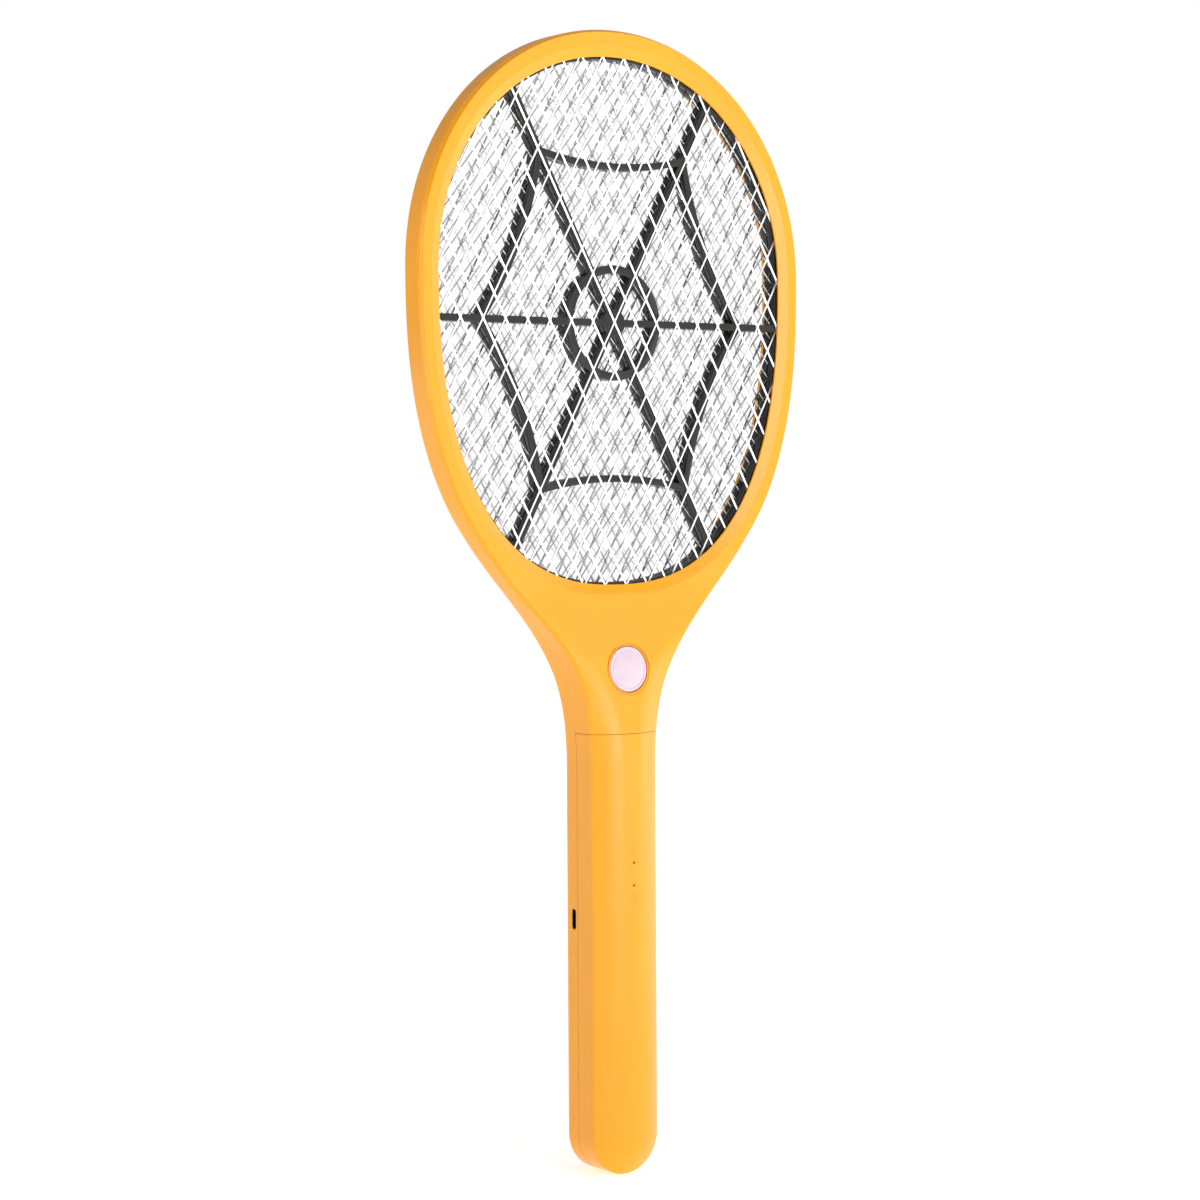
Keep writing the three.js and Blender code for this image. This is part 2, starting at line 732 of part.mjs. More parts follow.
// An axial part: a round body with a wire out of each end, lying along X.
function axialPart(radius, length, wireLength) {
  const wire = 0.35;
  const end = length / 2 + wireLength;
  const geometry = lathedAlongY([
    [0, -end],
    [wire, -end],
    [wire, -length / 2],
    [radius, -length / 2],
    [radius, length / 2],
    [wire, length / 2],
    [wire, end],
    [0, end],
  ], 10);
  return geometry.rotateZ(Math.PI / 2);
}

// A disc capacitor standing on the board, its round faces to both sides.
function discCapacitor() {
  const geometry = lathedAlongY([
    [0, -1.6],
    [3.4, -1.3],
    [4.2, -0.5],
    [4.2, 0.5],
    [3.4, 1.3],
    [0, 1.6],
  ], 16);
  return geometry.rotateZ(Math.PI / 2);
}

function transistor() {
  const shape = new THREE.Shape();
  shape.absarc(0, 0, 2.4, -Math.PI * 0.2, Math.PI * 1.2);
  const geometry = new THREE.ExtrudeGeometry(shape, {
    depth: 4.6,
    bevelEnabled: false,
    curveSegments: 12,
  });
  return geometry.translate(0, 0, -2.3);
}

function batteryCell() {
  const top = CELL_BOTTOM + CELL_LENGTH;
  const points = [
    [0, CELL_BOTTOM],
    [CELL_RADIUS - 0.5, CELL_BOTTOM],
    [CELL_RADIUS, CELL_BOTTOM + 0.5],
    [CELL_RADIUS, top - 0.5],
    [CELL_RADIUS - 0.5, top],
    [3, top],
    [3, top + 1],
    [0, top + 1],
  ].map(([radius, height]) => new THREE.Vector2(radius, height));
  return new THREE.LatheGeometry(points, 24).rotateX(Math.PI / 2);
}

// A wire of even thickness along hand-laid points.
function lead(points, diameter, steps) {
  const route = new THREE.CatmullRomCurve3(points.map((point) => new THREE.Vector3(...point)));
  const section = new THREE.Shape();
  section.absarc(0, 0, diameter / 2, 0, Math.PI * 2);
  return new THREE.ExtrudeGeometry(section, {
    extrudePath: route,
    steps,
    bevelEnabled: false,
    curveSegments: 3,
  });
}

// ---- assembly --------------------------------------------------------------------

const swatter = new THREE.Group();
const racket = new THREE.Group();
racket.position.set(0, -GRIP_DEPTH, -GRIP_HEIGHT);
swatter.add(racket);

function addPart(name, shape, material, place = [0, 0, 0]) {
  const geometry = shape.isBufferGeometry ? shape : toGeometry(shape);
  const mesh = new THREE.Mesh(geometry, material());
  mesh.name = name;
  mesh.position.set(...place);
  racket.add(mesh);
  return mesh;
}

function addMouldings() {
  const housing = housingSolid();
  const hollow = hollowSolid();
  addPart('front_frame', frontFrame(housing, hollow), yellowPlastic);
  addPart('rear_shell', rearShell(housing, hollow), yellowPlastic);
  addPart('handle_cover', handleCover(housing, hollow), yellowPlastic);
}

function addHead() {
  addPart('front_mesh', meshSheet(FRONT_MESH, OUTER_CELL, -MESH_TAB.offset), brightSteel);
  addPart('front_spacer', webSpacer(FRONT_SPACER, FRONT_SPACER_DEPTH), blackPlastic);
  addPart('centre_mesh', meshSheet(CENTRE_MESH, CENTRE_CELL, 0), brightSteel);
  addPart('rear_spacer', webSpacer(REAR_SPACER, REAR_SPACER_DEPTH), blackPlastic);
  addPart('rear_mesh', meshSheet(REAR_MESH, OUTER_CELL, MESH_TAB.offset), brightSteel);
}

function addButton() {
  addPart('button_cap', buttonCap(), buttonPlastic);
  addPart('switch_body', switchBody(), componentBlack);
  addPart('switch_plunger', switchPlunger(), blackPlastic);
}

function addElectronics() {
  addPart('main_board', mainBoard(), boardLaminate);
  addPart('usb_shell', usbShell(), brightSteel);
  addPart('usb_tongue', usbTongue(), componentBlack);
  for (const [name, height] of Object.entries(LED_HEIGHTS)) {
    addPart(name, ledSolid(height), ledLens);
  }
  addPart('transformer_core', transformerCore(), ferrite);
  addPart('transformer_winding', transformerWinding(), copper);
  const storage = roundedBlock(17, 7.5, 12, 1);
  addPart('storage_capacitor', storage, capacitorPlastic, [0, 2.4, STORAGE_HEIGHT]);
  for (const [i, x] of [-9, 9].entries()) {
    const place = [x, 2, DOUBLER_HEIGHT];
    addPart(`doubler_capacitor_${i + 1}`, discCapacitor(), discCeramic, place);
  }
  for (let i = 0; i < 3; i += 1) {
    const place = [0, 4.8, DIODE_HEIGHT + DIODE_PITCH * i];
    addPart(`doubler_diode_${i + 1}`, axialPart(1.3, 5.2, 3), componentBlack, place);
  }
  addPart('transistor', transistor(), componentBlack, [8, 3.6, TRANSISTOR_HEIGHT]);
  for (let i = 0; i < 2; i += 1) {
    const place = [-5, 5, RESISTOR_HEIGHT + DIODE_PITCH * i];
    addPart(`resistor_${i + 1}`, axialPart(1.1, 6, 2), resistorBody, place);
  }
}

function addPower() {
  addPart('battery_cell', batteryCell(), cellWrap, [0, CELL_AXIS, 0]);
  const red = [[4.5, 3, 87.5], [7, 3, 91], [8, 3.6, 96], [8, 4.4, 101], [8, 5.7, 104]];
  const black = [
    [-4, 3, 18.6], [-9, 3, 15.8], [-12.3, 3, 20], [-12.6, 3, 40], [-12.6, 3, 66],
    [-11, 3.2, 88], [-8.6, 4, 97], [-8, 5.6, 103],
  ];
  addPart('battery_lead_red', lead(red, WIRE, 10), redInsulation);
  addPart('battery_lead_black', lead(black, WIRE, 24), blackInsulation);
  const start = BOARD_TOP - 5;
  const bottom = EGG_CENTRE - OPENING.down - STACK_GRIP - 4.4;
  const leads = {
    front_ground_lead: [-MESH_TAB.offset, FRONT_MESH + 0.2],
    high_voltage_lead: [0, CENTRE_MESH + 0.2],
    rear_ground_lead: [MESH_TAB.offset, REAR_MESH + 0.2],
  };
  for (const [name, [x, depth]] of Object.entries(leads)) {
    const route = [
      [x * 0.8, 5.7, start], [x * 0.8, 3.4, start + 3], [x * 0.9, 2.6, start + 8],
      [x, (2.6 + depth) / 2, start + 14], [x, depth, bottom - 3], [x, depth, bottom],
    ];
    addPart(name, lead(route, WIRE, 12), x === 0 ? redInsulation : blackInsulation);
  }
}

function addScrews() {
  ringScrewPlaces().forEach((place, i) => {
    addPart(`ring_screw_${i + 1}`, screwGeometry(SELF_TAPPER, 8), screwSteel,
      [place.x, HEAD_BACK - 1.25, place.y]);
  });
  NECK_SCREWS.forEach((place, i) => {
    addPart(`neck_screw_${i + 1}`, screwGeometry(LONG_SCREW, 14), screwSteel,
      [place.x, backDepth(place.y) - 2.15, place.y]);
  });
  HANDLE_SCREWS.forEach((place, i) => {
    addPart(`handle_screw_${i + 1}`, screwGeometry(LONG_SCREW, 16), screwSteel,
      [place.x, backDepth(place.y) - 2.15, place.y]);
  });
  BOARD_SCREWS.forEach((place, i) => {
    const screw = addPart(`board_screw_${i + 1}`, screwGeometry(SELF_TAPPER, 6), screwSteel,
      [place.x, BOARD_FRONT - 0.1, place.y]);
    screw.rotation.x = Math.PI;
  });
}

addMouldings();
addHead();
addButton();
addElectronics();
addPower();
addScrews();

export default swatter;
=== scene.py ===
"""Visual model of a rechargeable electric fly swatter, laid out as a Blender add-on.

Metres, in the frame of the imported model: X across the head, Y from front to back,
Z up along the handle. Heights named here are measured from the handle's lower end,
and depths from the plane of the head opening's front edge.
"""

import math

import bmesh
import bpy
import numpy as np
from bpy.props import FloatProperty, FloatVectorProperty, PointerProperty
from mathutils import Matrix, Vector


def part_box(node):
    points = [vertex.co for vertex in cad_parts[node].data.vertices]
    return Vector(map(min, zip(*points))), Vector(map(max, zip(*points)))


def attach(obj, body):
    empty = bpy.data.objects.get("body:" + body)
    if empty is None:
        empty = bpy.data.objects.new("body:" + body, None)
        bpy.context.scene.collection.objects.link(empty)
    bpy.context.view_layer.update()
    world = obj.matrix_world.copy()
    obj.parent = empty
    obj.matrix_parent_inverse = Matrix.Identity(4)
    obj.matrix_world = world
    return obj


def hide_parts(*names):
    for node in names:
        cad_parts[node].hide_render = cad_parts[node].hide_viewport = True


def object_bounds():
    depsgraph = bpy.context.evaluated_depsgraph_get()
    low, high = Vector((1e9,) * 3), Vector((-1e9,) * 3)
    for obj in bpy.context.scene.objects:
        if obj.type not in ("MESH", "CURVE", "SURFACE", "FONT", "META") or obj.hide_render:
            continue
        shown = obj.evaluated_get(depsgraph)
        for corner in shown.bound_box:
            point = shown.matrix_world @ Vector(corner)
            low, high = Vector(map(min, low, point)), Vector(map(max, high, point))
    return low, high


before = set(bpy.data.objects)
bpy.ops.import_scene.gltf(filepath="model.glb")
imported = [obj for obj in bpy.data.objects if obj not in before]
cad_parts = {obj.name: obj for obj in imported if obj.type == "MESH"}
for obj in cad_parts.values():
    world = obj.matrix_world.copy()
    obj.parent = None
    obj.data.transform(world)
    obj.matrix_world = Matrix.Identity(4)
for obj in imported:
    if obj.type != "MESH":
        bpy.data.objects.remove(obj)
CAD_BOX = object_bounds()

bl_info = {
    "name": "Electric fly swatter",
    "version": (1, 0, 0),
    "blender": (4, 5, 0),
    "location": "View3D > Sidebar > Swatter",
    "description": "Builds the mouldings, grids, webs and button of an electric fly swatter",
    "category": "Add Mesh",
}

MM = 0.001
BOTTOM = CAD_BOX[0].z
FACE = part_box("front_mesh")[0].y - 1 * MM
ORIGIN = np.array([0.0, FACE, BOTTOM])

# Heights between which the parting, the side wall's ends and the crown change over.
PARTING_BLEND = (241 * MM, 251 * MM)
EDGE_BLEND = (224 * MM, 260 * MM)
CROWN_BLEND = (182 * MM, 258 * MM)

# Distances from the rim over which the step around the head rises.
STEP_BLEND = (0.3 * MM, 1.25 * MM)
OPENING_RADIUS = 0.8 * MM

# Height at which the neck's outline stops looking to the opening, and the run to there.
SHOULDER_END = 229 * MM
SHOULDER_RUN = 66 * MM

# Rows of a moulding's face, in millimetres from the outline and from the opening.
STEP_ROWS = (0.8, 0.9, 1.0, 1.1, 1.2, 1.35, 1.6, 2.2)
LAST_STEP_ROW = 3.2 * MM
BEVEL_ROWS = (5.0, 4.8, 4.65, 4.5, 4.35, 4.1, 3.2, 2.2, 1.2, 0.8, 0.6, 0.4, 0.25, 0.12, 0.03, 0.0)
COLUMN_STEP = 1.5 * MM

# Depths well in front of and behind every moulding, for cutters that pass right through.
AHEAD = -30 * MM
BEHIND = 40 * MM

# Stretches of the outline's right-hand side, from the top down.
RIGHT_SIDE = ("ring", "shoulder", "neck", "handle", "end")

PINHOLES = (138.1 * MM, 128.2 * MM)
SOCKET_PLACE = (9.8 * MM, 112.6 * MM)

# Case screws as [across, height] in millimetres. The ring's eight share one angle step.
LONG_SCREWS = ((-19, 233), (19, 233), (0, 11), (0, 92.5))
RING_SCREWS = 8
RING_SHARE = 0.42
RING_SCREW, LONG_SCREW = 2.1 * MM, 2.6 * MM
RING_SINK, LONG_SINK = 1.3 * MM, 2.2 * MM


# ---- settings ----------------------------------------------------------------------


def length(name, description, default):
    return FloatProperty(name=name, description=description, default=default, unit="LENGTH", precision=5)


def angle(name, description, default):
    return FloatProperty(name=name, description=description, default=default, subtype="ANGLE")


def number(name, description, default):
    return FloatProperty(name=name, description=description, default=default)


def colour(name, description, default):
    return FloatVectorProperty(
        name=name, description=description, default=default, subtype="COLOR", min=0.0, max=1.0
    )


class SwatterOutline(bpy.types.PropertyGroup):
    """Outline of the head, neck and handle, seen from the front."""

    rim_half: length("Rim half width", "Half the width of the head", CAD_BOX[1].x)
    rim_up: length("Rim above", "Rim's reach above the head's centre", 105.4 * MM)
    rim_down: length("Rim below", "Rim's reach below the head's centre", 146 * MM)
    opening_half: length("Opening half width", "Half the width of the opening", 91.9 * MM)
    opening_up: length("Opening above", "Opening's reach above the centre", 93.8 * MM)
    opening_down: length("Opening below", "Opening's reach below the centre", 135.2 * MM)
    top_roundness: number("Top roundness", "Exponent of the upper half", 2.04)
    low_roundness: number("Low roundness", "Exponent of the lower half", 2.43)
    handle_half: length("Handle half width", "Half the width of the handle", 17.5 * MM)
    neck_bottom: length("Neck bottom", "Height at which the handle turns into the neck", 179.4 * MM)
    neck_pull_top: length("Upper pull", "Reach of the neck curve's upper tangent", 59 * MM)
    neck_pull_low: length("Lower pull", "Reach of the neck curve's lower tangent", 58.6 * MM)
    neck_leaves_at: angle("Neck angle", "Angle at which the neck leaves the rim", -0.786)


class SwatterDepths(bpy.types.PropertyGroup):
    """Depths of the mouldings' faces, measured back from the opening's front edge."""

    head_edge: length("Head edge", "Front end of the head's side wall", -0.3 * MM)
    head_rise: length("Head step", "Height of the step around the head", 1.5 * MM)
    head_back: length("Head back", "Back face of the head", 12 * MM)
    handle_edge: length("Handle edge", "Front end of the handle's side wall", -4 * MM)
    handle_rise: length("Handle crown", "Height of the handle's crown", 7 * MM)
    handle_back: length("Handle back", "Back face of the handle", 16.7 * MM)
    bevel: length("Bevel drop", "Drop of the bevel around the opening", 1.8 * MM)
    bevel_width: length("Bevel width", "Width of the bevel around the opening", 4.5 * MM)
    fillet: length("Edge radius", "Radius between the side wall and the front", 0.85 * MM)
    back_rounding: length("Back radius", "Radius between the side wall and the back", 3 * MM)
    wall: length("Wall", "Thickness of the mouldings", 2 * MM)
    head_parting: length("Head parting", "Parting plane around the head", 9 * MM)
    handle_parting: length("Handle parting", "Parting plane along the handle", 7 * MM)
    lip_back: length("Front lip", "Back of the lip that holds the front grid", 0.9 * MM)
    rear_lip: length("Rear lip", "Front of the lip that holds the rear grid", 9.3 * MM)
    seam_height: length("Cover seam", "Height of the seam over the handle", 194.5 * MM)
    seam_gap: length("Seam gap", "Gap along the handle's seams", 0.22 * MM)
    head_gap: length("Head gap", "Gap along the head's parting", 0.03 * MM)


class SwatterGrid(bpy.types.PropertyGroup):
    """Cells and strands of the three metal grids."""

    cell_width: length("Cell width", "Width of one diamond of the outer grids", 11.5 * MM)
    cell_height: length("Cell height", "Height of one diamond of the outer grids", 20.9 * MM)
    strand: length("Strand", "Width of the outer grids' strands", 0.75 * MM)
    fine_width: length("Fine cell width", "Width of one diamond of the centre grid", 5.4 * MM)
    fine_height: length("Fine cell height", "Height of one diamond of the centre grid", 6.5 * MM)
    fine_strand: length("Fine strand", "Width of the centre grid's strands", 0.36 * MM)
    thickness: length("Sheet", "Thickness of the sheet", 0.36 * MM)


class SwatterWeb(bpy.types.PropertyGroup):
    """Ribs and hub of the two spacers."""

    centre: length("Web centre", "Height of the hub's centre", 373.3 * MM)
    rib: length("Rib", "Width of a rib", 3 * MM)
    hub_radius: length("Hub radius", "Outer radius of the hub ring", 25.1 * MM)
    hub_band: length("Hub band", "Width of the hub ring", 3.5 * MM)
    boss_radius: length("Boss radius", "Radius of the boss in the middle", 6 * MM)
    side_node: length("Side node", "Reach of the two level spokes' nodes", 69.7 * MM)
    corner_x: length("Corner node across", "Half distance between two corner nodes", 38.8 * MM)
    corner_z: length("Corner node up", "Height of the corner nodes above the hub", 72.4 * MM)
    arc_sag: length("Arc sag", "How far the arcs dip towards the hub", 4.6 * MM)
    grip: length("Grip", "How far the spacers reach behind the ring", 3.2 * MM)
    shows: length("Shows", "How far the spacers' rims show inside the opening", 1 * MM)


class SwatterButton(bpy.types.PropertyGroup):
    """Push button and the well that it sits in."""

    height: length("Height", "Height of the button's centre", 222.5 * MM)
    radius: length("Radius", "Radius of the button", 9.9 * MM)
    gap: length("Gap", "Gap between the button and its well", 0.35 * MM)
    groove: length("Groove radius", "Outer radius of the ring sunk around the well", 11.4 * MM)
    groove_width: length("Groove width", "Width of that ring", 0.55 * MM)
    groove_depth: length("Groove depth", "Depth of that ring below the surface", 0.7 * MM)
    flange: length("Flange radius", "Radius of the retaining flange", 11.3 * MM)
    flange_front: length("Flange front", "Front of the retaining flange", -4.4 * MM)
    sunk: length("Sunk", "How far the button's rim lies below the surface", 0.2 * MM)
    dome: length("Dome", "Height of the button's dome", 0.95 * MM)


class SwatterColours(bpy.types.PropertyGroup):
    """Main colours, as linear values."""

    yellow: colour("Yellow", "Colour of the mouldings", (0.95, 0.380, 0.002))
    button: colour("Button", "Colour of the button", (0.74, 0.59, 0.67))
    black: colour("Black", "Colour of the spacers", (0.010, 0.009, 0.008))
    steel: colour("Steel", "Colour of the grids", (0.88, 0.88, 0.89))


class SwatterStage(bpy.types.PropertyGroup):
    """Camera and lights."""

    azimuth: angle("Azimuth", "Camera's turn around the object", math.radians(-36.212))
    elevation: angle("Elevation", "Camera's height angle", math.radians(2.1945))
    roll: angle("Roll", "Camera's roll", math.radians(-0.3314))
    distance: length("Distance", "From the camera to its target", 1.25435)
    lens: number("Lens", "Focal length in millimetres", 86.42)
    target_x: length("Target across", "Camera target's place across the head", -9.53 * MM)
    target_height: length("Target height", "Camera target's height", 252.67 * MM)
    sky: number("Sky", "Strength of the surrounding light", 0.38)
    shade: number("Shade", "Strength of the dark zone around the camera", 0.05)
    key: number("Key light", "Power of the front softbox", 17.0)
    wide: number("Wide light", "Power of the front right softbox", 5.0)
    side: number("Side light", "Power of the rear left softbox", 1.5)
    strip: number("Strip light", "Power of the narrow left light", 4.8)
    fill: number("Fill light", "Power of the right softbox", 7.0)


GROUPS = {
    "swatter_outline": SwatterOutline,
    "swatter_depths": SwatterDepths,
    "swatter_grid": SwatterGrid,
    "swatter_web": SwatterWeb,
    "swatter_button": SwatterButton,
    "swatter_colours": SwatterColours,
    "swatter_stage": SwatterStage,
}


def settings(name):
    return getattr(bpy.context.scene, "swatter_" + name)


# ---- node helpers ------------------------------------------------------------------


class Wire:
    """One output socket. Arithmetic on it adds Math nodes."""

    def __init__(self, board, socket):
        self.board = board
        self.socket = socket

    def maths(self, operation, first, second=0.0):
        return self.board.add("ShaderNodeMath", {"operation": operation}, {0: first, 1: second})

    def __add__(self, other):
        return self.maths("ADD", self, other)

    def __radd__(self, other):
        return self.maths("ADD", other, self)

    def __mul__(self, other):
        return self.maths("MULTIPLY", self, other)

    def __rmul__(self, other):
        return self.maths("MULTIPLY", other, self)

    def __truediv__(self, other):
        return self.maths("DIVIDE", self, other)

    def __rtruediv__(self, other):
        return self.maths("DIVIDE", other, self)


class Board:
    """A node tree that is filled by calls."""

    def __init__(self, tree):
        self.tree = tree

    def add(self, kind, choices=None, inputs=None, output=0):
        """Adds a node, sets its choices first, then its inputs, and returns one output."""
        node = self.tree.nodes.new(kind)
        for key, value in (choices or {}).items():
            if key == "stops":
                self.set_stops(node, value)
            else:
                setattr(node, key, value)
        for key, value in (inputs or {}).items():
            self.feed(self.find(node.inputs, key), value)
        if not node.outputs:
            return node
        return Wire(self, node.outputs[output])

    def find(self, sockets, key):
        if isinstance(key, int):
            return sockets[key]
        live = [s for s in sockets if s.name == key and s.enabled]
        return live[0] if live else sockets[key]

    def feed(self, socket, value):
        for item in value if isinstance(value, list) else [value]:
            if isinstance(item, Wire):
                self.tree.links.new(item.socket, socket)
            else:
                socket.default_value = item

    def set_stops(self, node, stops):
        ramp = node.color_ramp
        while len(ramp.elements) > 1:
            ramp.elements.remove(ramp.elements[-1])
        for i, (position, value) in enumerate(stops):
            stop = ramp.elements[0] if i == 0 else ramp.elements.new(position)
            stop.position = position
            stop.color = (*value, 1.0) if len(value) == 3 else value

    def mix(self, factor, first, second):
        return self.add(
            "ShaderNodeMix", {"data_type": "RGBA"},
            {"Factor": factor, "A": rgba(first), "B": rgba(second)}, output=2,
        )


def rgba(value):
    if isinstance(value, Wire) or len(value) == 4:
        return value
    return (*value, 1.0)


class Finish(Board):
    """A material with one Principled shader."""

    NOISE_LOW, NOISE_HIGH = 0.3, 0.7

    def __init__(self, name):
        self.material = bpy.data.materials.new(name)
        self.material.use_nodes = True
        super().__init__(self.material.node_tree)
        self.tree.nodes.clear()
        self.place = self.add("ShaderNodeTexCoord", output=3)

    def noise(self, scale, detail=2.0, roughness=0.5, place=None):
        return self.add(
            "ShaderNodeTexNoise", {},
            {"Vector": place or self.place, "Scale": scale, "Detail": detail, "Roughness": roughness},
        )

    def stretched(self, scale):
        return self.add("ShaderNodeMapping", {}, {"Vector": self.place, "Scale": scale})

    def spread(self, value, low, high):
        """Maps the range that holds nearly all of a noise onto low to high."""
        return self.add("ShaderNodeMapRange", {}, {
            "Value": value, "From Min": self.NOISE_LOW, "From Max": self.NOISE_HIGH,
            "To Min": low, "To Max": high,
        })

    def bump(self, height, distance, strength=1.0, under=None):
        inputs = {"Height": height, "Distance": distance, "Strength": strength}
        if under is not None:
            inputs["Normal"] = under
        return self.add("ShaderNodeBump", {}, inputs)

    def surface(self, inputs):
        shader = self.add("ShaderNodeBsdfPrincipled", {}, inputs)
        self.add("ShaderNodeOutputMaterial", {}, {"Surface": shader})
        return self.material


def shade(value, factor):
    return tuple(min(1.0, c * factor) for c in value)


# ---- finishes ----------------------------------------------------------------------


def moulded_plastic(name, base, roughness, grain, gloss, mottle):
    """Injection-moulded plastic: a fine spark-eroded grain and a faint uneven gloss."""
    finish = Finish(name)
    cloud = finish.noise(scale=22.0, detail=3.0)
    flow = finish.noise(scale=1.0, detail=2.0, place=finish.stretched((90.0, 90.0, 25.0)))
    speck = finish.noise(scale=5200.0, detail=1.0)
    tone = cloud * 0.6 + flow * 0.25 + speck * 0.15
    darker, lighter = shade(base, 1.0 - mottle), shade(base, 1.0 + mottle)
    tint = finish.mix(finish.spread(tone, 0.0, 1.0), darker, lighter)
    pits = finish.noise(scale=2600.0, detail=2.0, roughness=0.6)
    swell = finish.noise(scale=260.0, detail=2.0)
    rough = finish.spread(flow * 0.5 + pits * 0.5, roughness - 0.04, roughness + 0.05)
    normal = finish.bump(pits, grain, 0.35, finish.bump(swell, grain * 1.6, 0.25))
    return finish.surface({
        "Base Color": tint, "Roughness": rough, "IOR": 1.49, "Normal": normal,
        "Specular IOR Level": gloss,
    })


def bright_metal(name, base, roughness, brushed):
    """Plated sheet or wire with light rolling marks and a few duller patches."""
    finish = Finish(name)
    marks = finish.noise(scale=2400.0, detail=2.0, roughness=0.6, place=finish.stretched(brushed))
    patches = finish.noise(scale=140.0, detail=3.0)
    tint = finish.mix(finish.spread(patches, 0.0, 1.0), shade(base, 0.86), shade(base, 1.06))
    rough = finish.spread(marks * 0.6 + patches * 0.4, roughness - 0.06, roughness + 0.1)
    normal = finish.bump(marks, 0.02 * MM, 0.5)
    return finish.surface({"Base Color": tint, "Metallic": 1.0, "Roughness": rough, "Normal": normal})


def button_plastic():
    """Milky translucent plastic, a little pinker where it is thicker."""
    finish = Finish("button_plastic")
    base = settings("colours").button
    cloud = finish.noise(scale=120.0, detail=3.0)
    pits = finish.noise(scale=3000.0, detail=2.0)
    tint = finish.mix(finish.spread(cloud, 0.0, 1.0), shade(base, 0.95), shade(base, 1.05))
    rough = finish.spread(pits * 0.6 + cloud * 0.4, 0.22, 0.32)
    return finish.surface({
        "Base Color": tint, "Roughness": rough, "IOR": 1.49,
        "Subsurface Weight": 0.35, "Subsurface Radius": (0.9, 0.5, 0.55), "Subsurface Scale": 0.002,
        "Normal": finish.bump(pits, 0.01 * MM, 0.4),
    })


def copper_winding():
    """Enamelled wire wound in level turns."""
    finish = Finish("copper_wire")
    turns = finish.add(
        "ShaderNodeTexWave", {"bands_direction": "Z"},
        {"Vector": finish.place, "Scale": 480.0, "Distortion": 0.4, "Detail": 1.0}, output=1,
    )
    tint = finish.mix(turns, (0.28, 0.075, 0.02), (0.72, 0.27, 0.09))
    return finish.surface({
        "Base Color": tint, "Metallic": 0.85, "Roughness": finish.spread(turns, 0.28, 0.42),
        "Normal": finish.bump(turns, 0.15 * MM, 0.8),
    })


def board_laminate():
    """Green solder mask over copper tracks and a woven glass base."""
    finish = Finish("board_laminate")
    tracks = finish.add(
        "ShaderNodeTexBrick", {"offset": 0.35, "squash": 0.6},
        {"Vector": finish.stretched((1.0, 1.0, 1.0)), "Scale": 160.0, "Mortar Size": 0.06,
         "Color1": (0, 0, 0, 1), "Color2": (0, 0, 0, 1), "Mortar": (1, 1, 1, 1)},
    )
    weave = finish.noise(scale=1800.0, detail=1.0)
    tint = finish.mix(tracks, (0.012, 0.10, 0.03), (0.03, 0.19, 0.06))
    return finish.surface({
        "Base Color": tint, "Roughness": finish.spread(weave, 0.32, 0.45),
        "Normal": finish.bump(weave, 0.02 * MM, 0.4),
    })


def banded(name, stops, roughness, scale, direction):
    """Paint bands that follow one axis, such as a resistor's rings or a wrap's stripe."""
    finish = Finish(name)
    wave = finish.add(
        "ShaderNodeTexWave", {"bands_direction": direction, "wave_profile": "SAW"},
        {"Vector": finish.place, "Scale": scale, "Distortion": 0.0}, output=1,
    )
    ramp = finish.add("ShaderNodeValToRGB", {"stops": stops}, {"Fac": wave})
    grain = finish.noise(scale=1500.0, detail=2.0)
    return finish.surface({
        "Base Color": ramp, "Roughness": finish.spread(grain, roughness - 0.05, roughness + 0.08),
        "Normal": finish.bump(grain, 0.02 * MM, 0.4),
    })


